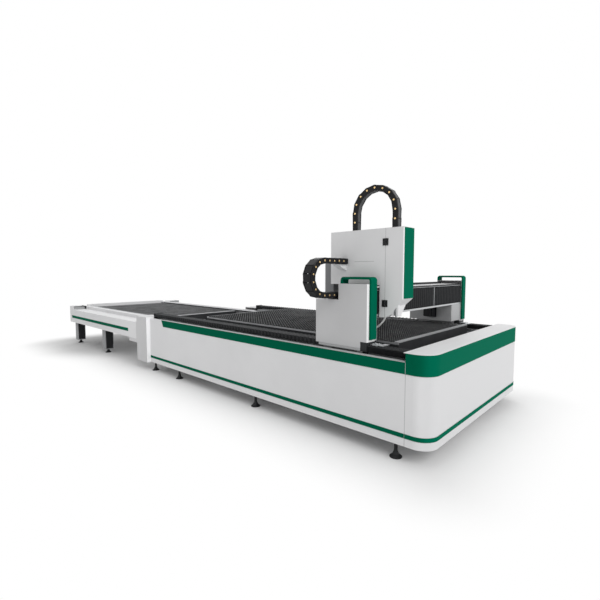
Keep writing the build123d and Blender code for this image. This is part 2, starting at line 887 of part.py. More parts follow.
def arch():
    """The outline of the strap with its window cut out, drawn across the end cover."""
    outer = polygon(
        (cover_front, arch_front_bottom), (arch_face, arch_front_bottom), (arch_face, arch_top),
        (cover_step, arch_top), (cover_step, cover_top), (cover_front, cover_top),
    )
    outer = fillet(outer.vertices().group_by(Axis.Y)[-1], arch_radius)
    inner_left = cover_step + arch_thickness
    inner_top = arch_top - arch_thickness
    width = cover_front - inner_left
    middle = (inner_left + cover_front) / 2
    window = RectangleRounded(width, inner_top - cover_top, arch_radius - arch_thickness)
    window = Pos(middle, (cover_top + inner_top) / 2) * window
    window += Pos(middle, cover_top) * Rectangle(width, arch_radius)
    return prism_xz(outer - window, -cover_half_span + arch_inset, -cover_half_span + cover_depth)


save("gantry_arches", both(arch()))

# Beam guides: the rails, the rack on the beam and the light profiles above and below the bellows
y_limit = cover_half_span - cover_depth
profile_front = beam_front + guide_profile_depth
beam_middle = (beam_bottom + beam_top) / 2
beam_guides = []
for level in (beam_middle - y_rail_offset, beam_middle + y_rail_offset):
    beam_guides.append(block(beam_front, beam_front + y_rail_height, -y_limit, y_limit,
                             level - y_rail_width / 2, level + y_rail_width / 2))
for low in (beam_bottom, beam_top - guide_profile_height):
    beam_guides.append(block(beam_front, profile_front, -y_limit, y_limit, low, low + guide_profile_height))
y_rack_back = beam_back + y_rack_setback
y_rack_top = beam_top + y_rack_height
beam_guides.append(block(y_rack_back, y_rack_back + y_rack_width, -y_limit, y_limit, beam_top, y_rack_top))
save("beam_guides", beam_guides)

# Motors that drive the gantry: one lies behind the near column, one stands out of the far leg
def servo_motor(body, length):
    """A motor standing on its flange along Z: flange, square body and the smaller encoder cap."""
    flange = Rectangle(body + motor_flange_margin, body + motor_flange_margin)
    motor = prism_xy(flange, 0, motor_flange_thickness)
    body_outline = RectangleRounded(body, body, motor_corner)
    motor += prism_xy(body_outline, motor_flange_thickness, length - motor_cap_length)
    cap_outline = RectangleRounded(body - motor_cap_inset, body - motor_cap_inset, motor_corner)
    motor += prism_xy(cap_outline, length - motor_cap_length, length)
    return motor


near_motor_x = base_front - near_leg_length
near_motor_y = -beam_end + near_leg_width / 2
near_motor = Rot(0, -90, 0) * servo_motor(small_motor_body, motor_length)
near_motor = Pos(near_motor_x, near_motor_y, x_motor_level) * near_motor
far_motor_y = beam_end - far_leg_width
far_motor_x = base_rear + far_motor_offset
far_motor_level = (far_leg_clearance + beam_bottom) / 2
far_motor = Rot(90, 0, 0) * servo_motor(motor_body, motor_length)
far_motor = Pos(far_motor_x, far_motor_y, far_motor_level) * far_motor
save("x_motors", [near_motor, far_motor])


def gear_outline(radius, teeth):
    """A toothed wheel: flat tips at the given radius and slanted flanks."""
    root = (tooth_root_share, radius - tooth_depth)
    tip = (tooth_tip_share, radius)
    points = []
    for number in range(teeth):
        for side, (share, reach) in ((-1, root), (-1, tip), (1, tip), (1, root)):
            angle = 2 * pi * (number + side * share) / teeth
            points.append((reach * cos(angle), reach * sin(angle)))
    return polygon(*points)


pinion_level = frame_top + rack_height + pinion_radius
gear_face = gear_outline(pinion_radius - face_gap, pinion_teeth)
gear = prism_xy(gear_face, -rack_width / 2, rack_width / 2)
x_pinion = Pos(pinion_x, -rack_y, pinion_level) * Rot(90, 0, 0) * gear
x_pinion += rod_y(pinion_x, pinion_level, pinion_shaft_radius, -rail_y + face_gap, -rack_y)
save("x_pinion_near", x_pinion)
save("x_pinion_far", far(x_pinion))

# Carriage: bearing blocks, a tall front plate and a shelf over the beam
carriage_near = -housing_near + housing_sheet
carriage_far = -housing_near + housing_width - housing_sheet
carriage_mid = -housing_near + housing_width / 2
plate_back = profile_front + carriage_plate_gap
plate_front = plate_back + carriage_plate_thickness
shelf_level = beam_top + carriage_shelf_gap
carriage = block(plate_back, plate_front, carriage_near, carriage_far, carriage_plate_bottom,
                 z_shelf_level + z_shelf_thickness)
shelf_top = shelf_level + carriage_shelf_thickness
carriage += block(y_rack_back, plate_front, carriage_near, carriage_far, shelf_level, shelf_top)
block_near = carriage_near + y_bearing_inset
block_far = carriage_far - y_bearing_inset
for level in (beam_middle - y_rail_offset, beam_middle + y_rail_offset):
    carriage += block(plate_back - y_bearing_depth, plate_back, block_near, block_far,
                      level - y_bearing_height / 2, level + y_bearing_height / 2)
    carriage -= block(beam_front, beam_front + y_rail_height + slide_clearance, block_near, block_far,
                      level - y_rail_width / 2 - slide_clearance, level + y_rail_width / 2 + slide_clearance)
for side in (-1, 1):
    y = carriage_mid + side * z_rail_spacing / 2
    carriage += block(plate_front, plate_front + z_rail_height, y - z_rail_width / 2, y + z_rail_width / 2,
                      carriage_plate_bottom, z_rail_top)
screw_x = plate_front + screw_offset
screw_bore = screw_radius + bearing_clearance
z_shelf_top = z_shelf_level + z_shelf_thickness
z_shelf = block(plate_front, screw_x + motor_body / 2,
                carriage_mid - motor_body / 2, carriage_mid + motor_body / 2, z_shelf_level, z_shelf_top)
z_shelf -= rod_z(screw_x, carriage_mid, screw_bore, z_shelf_level, z_shelf_top)
screw_foot_top = screw_bottom + screw_foot_height
screw_foot = block(plate_front, plate_front + slide_plate_gap - grip_gap, carriage_mid - screw_foot_width / 2,
                   carriage_mid + screw_foot_width / 2, screw_bottom, screw_foot_top)
screw_foot -= rod_z(screw_x, carriage_mid, screw_bore, screw_bottom, screw_foot_top)
hose_y = -housing_near + hose_offset
fitting_x = plate_front + slide_plate_gap / 2
hose_fitting = block(plate_front, fitting_x + hose_radius + fitting_wall,
                     hose_y - hose_radius, hose_y + hose_radius,
                     fitting_level, fitting_level + fitting_height)
y_pinion_x = y_rack_back + y_rack_width + pinion_radius
carriage += z_shelf + screw_foot + hose_fitting
carriage -= rod_z(y_pinion_x, carriage_mid, pinion_shaft_radius + bearing_clearance, shelf_level, shelf_top)
save("carriage_plate", carriage)

# Beam bellows on both sides of the carriage
bellows_back = beam_front + y_rail_height + beam_bellows_gap
bellows_low = beam_bottom + guide_profile_height + bellows_clearance
bellows_high = beam_top - guide_profile_height - bellows_clearance
bellows_front = bellows_back + beam_bellows_thickness
far_pleats = pleated_y(block_far + face_gap, y_limit - face_gap, bellows_back, bellows_front,
                       bellows_low, bellows_high, beam_bellows_far_fold_count, bellows_fold_depth)
near_pleats = pleated_y(-y_limit + face_gap, block_near - face_gap, bellows_back, bellows_front,
                        bellows_low, bellows_high, beam_bellows_near_fold_count, bellows_fold_depth)
save("beam_bellows_far", far_pleats)
save("beam_bellows_near", near_pleats)

# Pinion and motor of the carriage, standing on the shelf
y_gear = prism_xy(gear_face, beam_top + pinion_floor_gap, y_rack_top)
y_pinion = Pos(y_pinion_x, carriage_mid, 0) * y_gear
y_pinion += rod_z(y_pinion_x, carriage_mid, pinion_shaft_radius, y_rack_top, shelf_top - face_gap)
save("y_pinion", y_pinion)

y_motor = Pos(y_pinion_x, carriage_mid, shelf_top) * servo_motor(small_motor_body, motor_length)
z_motor = Pos(screw_x, carriage_mid, z_shelf_top) * servo_motor(small_motor_body, motor_length)
save("axis_motors", [y_motor, z_motor])

# Head housing: a tall narrow shell, open below, with slots on top for the energy chain
housing_x0 = plate_back - housing_rear_reach
housing_x1 = plate_front + housing_front_reach
seam_x = housing_x1 - door_width
near_face = -housing_near
far_face = near_face + housing_width
throat = plate_back + housing_sheet
housing_rear_bottom = y_rack_top + housing_rear_gap
wall_outline = polygon(
    (housing_x0, housing_rear_bottom), (throat, housing_rear_bottom), (throat, housing_front_bottom),
    (seam_x, housing_front_bottom), (seam_x, housing_top), (housing_x0, housing_top),
)
housing = prism_xz(wall_outline, near_face, near_face + housing_sheet)
far_reach = housing_x1 - housing_sheet - face_gap
far_wall_low = chin_top + 2 * housing_sheet
far_outline = polygon(
    (housing_x0, housing_rear_bottom), (throat, housing_rear_bottom), (throat, housing_front_bottom),
    (seam_x, housing_front_bottom), (far_reach, far_wall_low), (far_reach, housing_top),
    (housing_x0, housing_top),
)
housing += prism_xz(far_outline, far_face - housing_sheet, far_face)
housing += block(housing_x0, housing_x1, near_face, far_face, housing_top - housing_sheet, housing_top)
rear_sheet_front = housing_x0 + housing_sheet
housing += block(housing_x0, rear_sheet_front, near_face, far_face, housing_rear_bottom, housing_top)
arm_x = screw_x + motor_body / 2 + grip_gap
z_chain_front = arm_x + z_chain_arm_gap
z_chain_rear = z_chain_front - z_chain_span
z_chain_near = near_face + z_chain_near_gap
z_chain_far = z_chain_near + z_chain_width
slot_half = chain_height / 2 + chain_slot_margin
for x in (z_chain_rear, z_chain_front):
    housing -= block(x - slot_half, x + slot_half,
                     z_chain_near - chain_slot_margin, z_chain_far + chain_slot_margin,
                     housing_top - 2 * housing_sheet, housing_top + housing_sheet)
save("head_housing", housing)

# Box behind the housing, where cables and gas come in
rear_box = block(housing_x0 - rear_box_length, housing_x0, near_face + rear_box_setback,
                 near_face + rear_box_setback + rear_box_width, rear_box_bottom, rear_box_top)
save("rear_box", fillet(rear_box.edges().filter_by(Axis.Z), sheet))

# Door: near face, front face with a set-back chin, and a slanted cut at the far bottom corner
door_top = housing_top - housing_sheet - face_gap
door_rear = seam_x + face_gap
notch_x = seam_x + notch_start
notch_front = notch_x + notch_width
notch_top = door_bottom_mid + notch_height
chin_x = housing_x1 - chin_setback
with BuildSketch() as door_sketch:
    with BuildLine():
        Polyline(
            (notch_x, door_bottom_mid), (seam_x + door_slope_end, door_bottom_mid - door_slope_drop),
            (seam_x + door_slope_start, housing_front_bottom), (door_rear, housing_front_bottom),
            (door_rear, door_top), (housing_x1, door_top), (housing_x1, chin_top), (chin_x, chin_low),
            (chin_x, door_bottom_front), (notch_front, door_bottom_front), (notch_front, notch_top),
        )
        TangentArc((notch_x, door_bottom_mid), (notch_front, notch_top), tangent=(0, 1))
    make_face()
door_shell = prism_xz(door_sketch.sketch, near_face, far_face)
door_shell = fillet(front_bends(door_shell), bend_radius)
hollow_front = housing_x1 - housing_sheet
hollow_rear = seam_x - door_width
hollow_top = housing_top + housing_sheet
hollow = polygon(
    (hollow_rear, 0), (hollow_rear, hollow_top), (hollow_front, hollow_top), (hollow_front, chin_top),
    (chin_x - housing_sheet, chin_low), (chin_x - housing_sheet, 0),
)
door_shell -= prism_xz(hollow, near_face + housing_sheet, far_face + housing_sheet)
cut_far = far_face + housing_sheet
cut_near = near_face + corner_cut_reach
corner_cut = polygon((cut_far, corner_cut_top), (cut_far, 0), (cut_near, 0), (cut_near, door_bottom_mid))
door_shell -= prism_yz(corner_cut, hollow_rear, housing_x1 + skin)
hinge_x = seam_x
hinge_y = near_face - hinge_radius

# Hinges: barrels on the fixed leaves, and the pin with its middle barrel on the door leaves
fixed_leaves = []
door_leaves = []
leaf_outer = near_face - hinge_leaf_thickness
leaf_end = hinge_leaf_gap + hinge_leaf
for level in (hinge_lower, hinge_upper):
    low = level - hinge_height / 2
    high = level + hinge_height / 2
    third = hinge_height / 3
    leaf = block(hinge_x - leaf_end, hinge_x - hinge_radius - hinge_room, leaf_outer, near_face, low, high)
    for z0, z1 in ((low, low + third - face_gap), (high - third + face_gap, high)):
        leaf += rod_z(hinge_x, hinge_y, hinge_radius, z0, z1)
        leaf += block(hinge_x - leaf_end, hinge_x, leaf_outer, near_face, z0, z1)
    leaf -= rod_z(hinge_x, hinge_y, hinge_pin_radius + bearing_clearance, low, high)
    fixed_leaves.append(leaf)
    swing = rod_z(hinge_x, hinge_y, hinge_pin_radius, low, high)
    swing += rod_z(hinge_x, hinge_y, hinge_radius, low + third, high - third)
    swing += block(hinge_x + hinge_room, hinge_x + leaf_end, leaf_outer, near_face, low + third, high - third)
    swing += block(hinge_x + hinge_radius + hinge_room, hinge_x + leaf_end, leaf_outer, near_face, low, high)
    door_leaves.append(swing)
save("hinge_fixed_leaves", fixed_leaves)
save("hinge_door_leaves", door_leaves)
save("head_door", door_shell)
front_panel = block(housing_x1, housing_x1 + skin, near_face + bend_radius, far_face, chin_top, door_top)
save("head_front_panel", front_panel)

# Head axis: screw, slide plate with bearing blocks and nut, and an arm for the energy chain
screw = rod_z(screw_x, carriage_mid, screw_radius, screw_bottom, z_shelf_top - face_gap)
save("z_screw", screw)

z_chain_radius = z_chain_span / 2
z_chain_end = z_chain_arc_level - z_link_count * link_pitch(z_chain_radius, z_chain_pitch)
slide_back = plate_front + slide_plate_gap
slide_front = slide_back + slide_plate_thickness
slide = block(slide_back, slide_front,
              carriage_mid - slide_plate_width / 2, carriage_mid + slide_plate_width / 2,
              slide_bottom, slide_top)
grip_back = plate_front + grip_gap
groove_front = plate_front + z_rail_height + slide_clearance
groove_half = z_rail_width / 2 + slide_clearance
for side in (-1, 1):
    y = carriage_mid + side * z_rail_spacing / 2
    grip = block(grip_back, slide_back, y - z_rail_width, y + z_rail_width, slide_bottom, slide_top)
    grip -= block(plate_front, groove_front, y - groove_half, y + groove_half, slide_bottom, slide_top)
    slide += grip
nut = block(grip_back, slide_back, carriage_mid - nut_width / 2, carriage_mid + nut_width / 2,
            slide_top - nut_height, slide_top)
slide += nut - rod_z(screw_x, carriage_mid, screw_bore, slide_top - nut_height, slide_top)
arm_end = arm_x + slide_arm_thickness
arm_low = slide_top - slide_arm_foot
slide += block(slide_back, arm_end, z_chain_near, z_chain_far, arm_low, slide_top)
slide += block(arm_x, arm_end, z_chain_near, z_chain_far, arm_low, z_chain_end)
slide += block(arm_x, z_chain_front + chain_height / 2, z_chain_near, z_chain_far,
               z_chain_end - z_anchor_thickness, z_chain_end)
save("z_slide", slide)

# Cutting head: collimator on top, square body, cone down to the nozzle
head_x = slide_front + head_block_depth / 2
head = block(slide_front, slide_front + head_block_depth, carriage_mid - head_block_width / 2,
             carriage_mid + head_block_width / 2, head_block_bottom, head_block_top)
barrel_outline = polygon(
    (0, nozzle_tip), (nozzle_tip_radius, nozzle_tip), (nozzle_radius, nozzle_tip + nozzle_height),
    (nozzle_radius, nozzle_tip + nozzle_height + nozzle_neck), (cone_top_radius, cone_top),
    (cone_top_radius, head_block_bottom), (collimator_radius, head_block_bottom),
    (collimator_radius, collimator_top), (0, collimator_top),
)
head += Pos(head_x, carriage_mid, 0) * revolve(Plane.XZ * barrel_outline, Axis.Z)
save("cutting_head", head)

# Energy chains


def chain_link(width, pitch, half_turn):
    """One link: two side plates with pointed ends, and the narrower box of crossbars between them."""
    half = pitch / 2 - chain_joint_gap / 2
    rise = chain_height / 2
    bevel = rise * tan(half_turn) + chain_joint_gap
    flat = half - bevel
    plate = polygon((-half, 0), (-flat, rise), (flat, rise), (half, 0), (flat, -rise), (-flat, -rise))
    bar = Rectangle(2 * (flat - chain_bar_margin), chain_height - 2 * chain_bar_inset)
    link = extrude(plate, amount=chain_plate)
    link += Pos(0, 0, chain_plate) * extrude(bar, amount=width - 2 * chain_plate)
    link += Pos(0, 0, width - chain_plate) * extrude(plate, amount=chain_plate)
    return link


def chain(frame, width, radius, nominal, first_links, last_links):
    """Links along a straight run, half a turn and a run back; the frame's x axis points into the bend."""
    turn = pi / round(pi * radius / nominal)
    pitch = link_pitch(radius, nominal)
    link = chain_link(width, pitch, turn / 2)
    reach = radius * cos(turn / 2)
    places = [(-(number + 0.5) * pitch, 0, 0) for number in range(first_links)]
    for number in range(round(pi / turn)):
        angle = (number + 0.5) * turn
        places.append((reach * sin(angle), radius - reach * cos(angle), degrees(angle)))
    places += [(-(number + 0.5) * pitch, 2 * radius, 180) for number in range(last_links)]
    return [frame.location * Pos(u, w, 0) * Rot(0, 0, angle) * link for u, w, angle in places]


# The carriage chain bends over beyond the near side and lies in a tray behind the beam
y_chain_radius = (y_chain_upper - y_chain_lower) / 2
y_pitch = link_pitch(y_chain_radius, chain_pitch)
y_fixed_link_count = y_moving_link_count + round(carriage_travel / 2 / y_pitch)
y_chain_x1 = beam_back - y_chain_setback
y_chain_x0 = y_chain_x1 - y_chain_width
y_bend = near_face - y_chain_moving_gap - y_moving_link_count * y_pitch
y_frame = Plane(origin=(y_chain_x1, y_bend, y_chain_lower), x_dir=(0, -1, 0), z_dir=(-1, 0, 0))
y_links = chain(y_frame, y_chain_width, y_chain_radius, chain_pitch, y_fixed_link_count, y_moving_link_count)
save("y_chain", y_links)

y_fixed_end = y_bend + y_fixed_link_count * y_pitch
tray_end = y_fixed_end + clamp_length
tray_x0 = y_chain_x0 - tray_gap - tray_sheet
tray_floor = cover_step_level + tray_sheet
chain_tray = block(tray_x0, y_chain_x1 + tray_gap, -beam_end, tray_end, cover_step_level, tray_floor)
chain_tray += block(tray_x0, tray_x0 + tray_sheet, -beam_end, tray_end, cover_step_level, y_chain_lower)
chain_tray += block(y_chain_x1, beam_back, -y_limit + clamp_length, tray_end, cover_step_level, tray_floor)
chain_tray += block(y_chain_x0, y_chain_x1, y_fixed_end, tray_end, cover_step_level, y_chain_lower)
save("y_chain_tray", chain_tray)

# Bracket under the upper run on the housing, and the shelf that anchors the head chain
shelf_under = y_chain_upper - chain_height / 2
bracket_reach = near_face - y_bracket_link_count * y_pitch
y_bracket = prism_yz(
    polygon((near_face, shelf_under - y_bracket_depth), (near_face, shelf_under),
            (bracket_reach, shelf_under), (bracket_reach, shelf_under - y_bracket_tip)),
    y_chain_x0 + y_bracket_inset, y_chain_x1 - y_bracket_inset,
)
z_anchor = block(z_chain_rear - chain_height / 2, z_chain_rear + chain_height / 2, near_face + housing_sheet,
                 z_chain_far, z_chain_end - z_anchor_thickness, z_chain_end)
save("chain_brackets", [y_bracket, z_anchor])

# The head chain stands in an arch over the housing
z_frame = Plane(origin=(z_chain_front, z_chain_far, z_chain_arc_level), x_dir=(0, 0, 1), z_dir=(0, -1, 0))
save("z_chain", chain(z_frame, z_chain_width, z_chain_radius, z_chain_pitch, z_link_count, z_link_count))

# The gantry chain runs in a tray along the far side
x_chain_upper = base_level - face_gap - chain_height / 2
x_chain_radius = (x_chain_upper - x_chain_lower) / 2
x_pitch = link_pitch(x_chain_radius, chain_pitch)
x_moving_link_count = x_fixed_link_count + round(gantry_travel / 2 / x_pitch)
x_bend = arm_front - x_moving_link_count * x_pitch
x_frame = Plane(origin=(x_bend, x_chain_near_y, x_chain_lower), x_dir=(-1, 0, 0), z_dir=(0, 1, 0))
x_links = chain(x_frame, x_chain_width, x_chain_radius, chain_pitch, x_fixed_link_count, x_moving_link_count)
save("x_chain", x_links)

x_fixed_end = x_bend + x_fixed_link_count * x_pitch
x_tray_top = x_chain_lower - chain_height / 2 - face_gap
x_tray_rear = x_bend - gantry_travel / 2 - x_chain_radius - chain_height
x_tray_front = x_fixed_end + clamp_length
x_tray_far = x_chain_far + tray_gap
x_tray_under = x_tray_top - tray_sheet
x_tray_outer = x_tray_far + tray_sheet
x_tray = block(x_tray_rear, x_tray_front, half_width, x_tray_outer, x_tray_under, x_tray_top)
x_tray += block(x_tray_rear, x_tray_front, x_tray_far, x_tray_outer, x_tray_under,
                x_chain_lower + chain_height / 2)
x_tray += block(x_fixed_end, x_tray_front, x_chain_near_y, x_chain_far, x_tray_under, x_chain_lower)
save("x_chain_tray", x_tray)

# Gas hose: from the rear box down, under the beam and up to the fitting on the carriage
hose_x = housing_x0 - rear_box_length / 2
hose_points = [
    (hose_x, rear_box_bottom), (hose_x, 1240), (hose_x - 6, 1120), (hose_x + 16, 1010), (hose_x + 96, 953),
    (hose_x + 206, 943), (hose_x + 326, 945), (hose_x + 446, 965), (hose_x + 551, 1025), (hose_x + 626, 1095),
    (fitting_x, 1155), (fitting_x, fitting_level),
]
hose_radii = []
for before, corner, after in zip(hose_points, hose_points[1:], hose_points[2:]):
    first = Vector(corner[0] - before[0], corner[1] - before[1])
    second = Vector(after[0] - corner[0], after[1] - corner[1])
    half_turn = radians(first.get_angle(second)) / 2
    hose_radii.append(hose_arc_share * min(first.length, second.length) / tan(half_turn))
print("hose bend radii", [round(radius) for radius in hose_radii])
hose_path = FilletPolyline(*[(x, hose_y, z) for x, z in hose_points], radius=hose_radii)
hose_section = Plane(origin=hose_path @ 0, z_dir=hose_path % 0) * Circle(hose_radius)
hose = sweep(hose_section, path=hose_path)
print("hose volume by its length:", round(hose_path.length * pi * hose_radius ** 2))
print("hose volume as built:", round(hose.volume))
save("head_hose", hose)
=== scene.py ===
from math import cos, pi, radians, sin

import bmesh
import bpy
from mathutils import Matrix, Vector


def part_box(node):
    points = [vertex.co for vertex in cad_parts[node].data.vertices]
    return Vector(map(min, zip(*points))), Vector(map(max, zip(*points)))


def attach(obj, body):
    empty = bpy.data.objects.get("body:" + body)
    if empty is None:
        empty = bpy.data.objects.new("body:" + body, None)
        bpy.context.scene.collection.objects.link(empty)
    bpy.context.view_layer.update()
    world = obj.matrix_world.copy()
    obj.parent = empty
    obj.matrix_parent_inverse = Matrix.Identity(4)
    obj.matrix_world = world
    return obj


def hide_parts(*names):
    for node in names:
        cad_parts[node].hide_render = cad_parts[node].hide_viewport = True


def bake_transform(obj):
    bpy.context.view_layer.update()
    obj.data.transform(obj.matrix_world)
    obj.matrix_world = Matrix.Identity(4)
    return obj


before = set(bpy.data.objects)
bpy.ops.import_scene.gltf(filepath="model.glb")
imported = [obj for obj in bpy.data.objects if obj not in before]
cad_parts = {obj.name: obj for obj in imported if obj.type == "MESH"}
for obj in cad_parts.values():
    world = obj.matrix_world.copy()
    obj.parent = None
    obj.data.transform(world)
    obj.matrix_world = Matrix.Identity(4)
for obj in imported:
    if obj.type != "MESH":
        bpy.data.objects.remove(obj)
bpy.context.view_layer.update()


# Studio: the camera stands at eye height off the near front corner. A soft key light comes from
# the operator end, a weaker one from behind, and the pale floor runs out into a white room.
camera_data = bpy.data.cameras.new("photo_camera")
camera_data.lens = 23.19
camera_data.clip_end = 200
camera = bpy.data.objects.new("photo_camera", camera_data)
camera.location = (5.3856, -3.9751, 1.5397)
camera.rotation_euler = (radians(85.98), 0, radians(43.2))
bpy.context.scene.collection.objects.link(camera)
bpy.context.scene.camera = camera
bpy.context.scene.view_settings.view_transform = "Standard"


def soft_sun(name, direction, strength, spread):
    """A distant lamp with soft edges, shining along a direction."""
    data = bpy.data.lights.new(name, "SUN")
    data.energy = strength
    data.angle = radians(spread)
    lamp = bpy.data.objects.new(name, data)
    lamp.rotation_euler = Vector(direction).to_track_quat("-Z", "Y").to_euler()
    bpy.context.scene.collection.objects.link(lamp)


soft_sun("key_light", (-0.78, 0.16, -0.62), strength=1.35, spread=40)
soft_sun("back_light", (0.55, -0.60, -0.60), strength=0.50, spread=60)


class Wire:
    """A value on its way through a shader: arithmetic on wires adds Math nodes."""

    def __init__(self, tree, socket=None):
        self.tree = tree
        self.socket = socket

    def node(self, kind, settings=None, inputs=None, output=0):
        """Adds a node, sets it up, feeds its sockets, and gives back one of its outputs."""
        made = self.tree.nodes.new(kind)
        for setting, value in (settings or {}).items():
            setattr(made, setting, value)
        for name, value in (inputs or {}).items():
            socket = made.inputs[name]
            if isinstance(value, Wire):
                self.tree.links.new(value.socket, socket)
            else:
                socket.default_value = value
        return Wire(self.tree, made.outputs[output])

    def math(self, operation, other=0.0):
        """This value and another through a Math node."""
        return self.node("ShaderNodeMath", {"operation": operation}, {0: self, 1: other})

    def __add__(self, other):
        return self.math("ADD", other)

    def __sub__(self, other):
        return self.math("SUBTRACT", other)

    def __rsub__(self, other):
        return self.node("ShaderNodeMath", {"operation": "SUBTRACT"}, {0: other, 1: self})

    def __mul__(self, other):
        return self.math("MULTIPLY", other)

    __radd__ = __add__
    __rmul__ = __mul__

    def either(self, other):
        """The greater of two values, so that of two masks each counts."""
        return self.math("MAXIMUM", other)

    def unsigned(self):
        """The value without its sign."""
        return self.math("ABSOLUTE")

    def above(self, level):
        """1 where the value is above a level, and 0 elsewhere."""
        return self.math("GREATER_THAN", level)

    def below(self, level):
        """1 where the value is below a level, and 0 elsewhere."""
        return self.math("LESS_THAN", level)

    def between(self, low, high):
        """1 from one level to another, and 0 elsewhere."""
        return self.above(low) * self.below(high)

    def ramp(self, low, high):
        """The value's way from low to high, as 0 to 1 with soft ends."""
        return self.node("ShaderNodeMapRange", {"interpolation_type": "SMOOTHSTEP"},
                         {"Value": self, "From Min": low, "From Max": high})

    def vector(self, operation, other=(0, 0, 0), output="Vector"):
        """This vector and another through a Vector Math node."""
        return self.node("ShaderNodeVectorMath", {"operation": operation},
                         {0: self, 1: other}, output)

    def axis(self, index):
        """One of a vector's three parts."""
        return self.node("ShaderNodeSeparateXYZ", {}, {0: self}, index)

    def facing(self, index):
        """How far the surface faces along an axis, from -1 to 1."""
        return self.node("ShaderNodeNewGeometry", output="Normal").axis(index)

    def noise(self, scale, detail=3, stretch=(1, 1, 1)):
        """Cloudy noise with so many waves to the metre, stretched along the axes."""
        place = self.node("ShaderNodeMapping", {}, {"Vector": self, "Scale": stretch})
        return self.node("ShaderNodeTexNoise", {},
                         {"Vector": place, "Scale": scale, "Detail": detail})

    def tint(self, first, second):
        """A colour between two, where this value is the way from the first to the second."""
        return self.node("ShaderNodeMix", {"data_type": "RGBA"}, {0: self, 6: first, 7: second}, 2)

    def bump(self, strength, distance):
        """Relief in the surface, with this value as its height."""
        return self.node("ShaderNodeBump", {},
                         {"Height": self, "Strength": strength, "Distance": distance})


def seen_directly(tree):
    """1 for what the camera, a mirror or a glass sees, and 0 for what only lights the scene."""
    seen, mirrored, through_glass = (
        Wire(tree).node("ShaderNodeLightPath", output=ray)
        for ray in ("Is Camera Ray", "Is Glossy Ray", "Is Transmission Ray"))
    return seen.either(mirrored).either(through_glass)


world = bpy.data.worlds.new("white_room")
bpy.context.scene.world = world
world.use_nodes = True
room = world.node_tree
background = room.nodes["Background"]
background.inputs["Color"].default_value = (1, 1, 1, 1)
room_light = 0.62
room_strength = room_light + (1 - room_light) * seen_directly(room)
room.links.new(room_strength.socket, background.inputs["Strength"])

floor_mesh = bmesh.new()
bmesh.ops.create_circle(floor_mesh, cap_ends=True, segments=96, radius=60)
floor_data = bpy.data.meshes.new("floor")
floor_mesh.to_mesh(floor_data)
floor_mesh.free()
floor = bpy.data.objects.new("floor", floor_data)
bpy.context.scene.collection.objects.link(floor)

floor_paint = bpy.data.materials.new("studio_floor")
floor_paint.use_nodes = True
tree = floor_paint.node_tree
tree.nodes.remove(tree.nodes["Principled BSDF"])
place = Wire(tree).node("ShaderNodeTexCoord", output="Object")
# the floor is matt under the machine and around it, and glows white further out; under the
# exchange station the matt grey is darker, a painted shadow, and the matt part reaches further out
# than at the bed
half_length, half_width = 4.14, 1.20
outside = place.vector("ABSOLUTE").vector("SUBTRACT", (half_length, half_width, 0))
distance = outside.vector("MAXIMUM").vector("LENGTH", output="Value")
out_of_painted_shadow = place.axis(0).ramp(-3.2, -1.7)
grain = place.noise(3, 4)
matt_grey = out_of_painted_shadow.tint(grain.tint((0.62, 0.62, 0.62, 1), (0.66, 0.66, 0.66, 1)),
                        grain.tint((0.86, 0.86, 0.86, 1), (0.90, 0.90, 0.90, 1)))
matt = place.node("ShaderNodeBsdfDiffuse", {}, {"Color": matt_grey})
glow = place.node("ShaderNodeEmission", {}, {"Color": (1, 1, 1, 1), "Strength": 1.0})
station_shadow_reach = 0.30
whiteness = (distance - station_shadow_reach * (1 - out_of_painted_shadow)).ramp(-0.10, 0.78)
runs_out = place.node("ShaderNodeMixShader", {},
                      {0: seen_directly(tree) * whiteness, 1: matt, 2: glow})
tree.links.new(runs_out.socket, tree.nodes["Material Output"].inputs["Surface"])
floor_data.materials.append(floor_paint)


# Bed frame: long box beams and cross tubes of welded steel plate, painted grey over the welds.
# It carries the rails, the covers and the slag trays, and stands on levelling feet.
def new_finish(name):
    """An empty material: its shader, and where on the object each point lies."""
    material = bpy.data.materials.new(name)
    material.use_nodes = True
    tree = material.node_tree
    place = Wire(tree).node("ShaderNodeTexCoord", output="Object")
    return material, tree.nodes["Principled BSDF"], place


def apply(shader, **values):
    """Sets or links the shader's sockets, named with underscores for spaces."""
    for name, value in values.items():
        socket = shader.inputs[name.replace("_", " ")]
        if isinstance(value, Wire):
            value.tree.links.new(value.socket, socket)
        else:
            socket.default_value = value


def from_screen(red, green, blue):
    """A colour given as 0 to 255 on screen, as the linear values that shaders take."""
    linear = []
    for value in (red, green, blue):
        share = value / 255
        linear.append(share / 12.92 if share <= 0.04045 else ((share + 0.055) / 1.055) ** 2.4)
    return (*linear, 1.0)


def shaded(colour, share, lift=0.0):
    """A share of a colour, with some grey added."""
    return (*(share * channel + lift for channel in colour[:3]), 1.0)


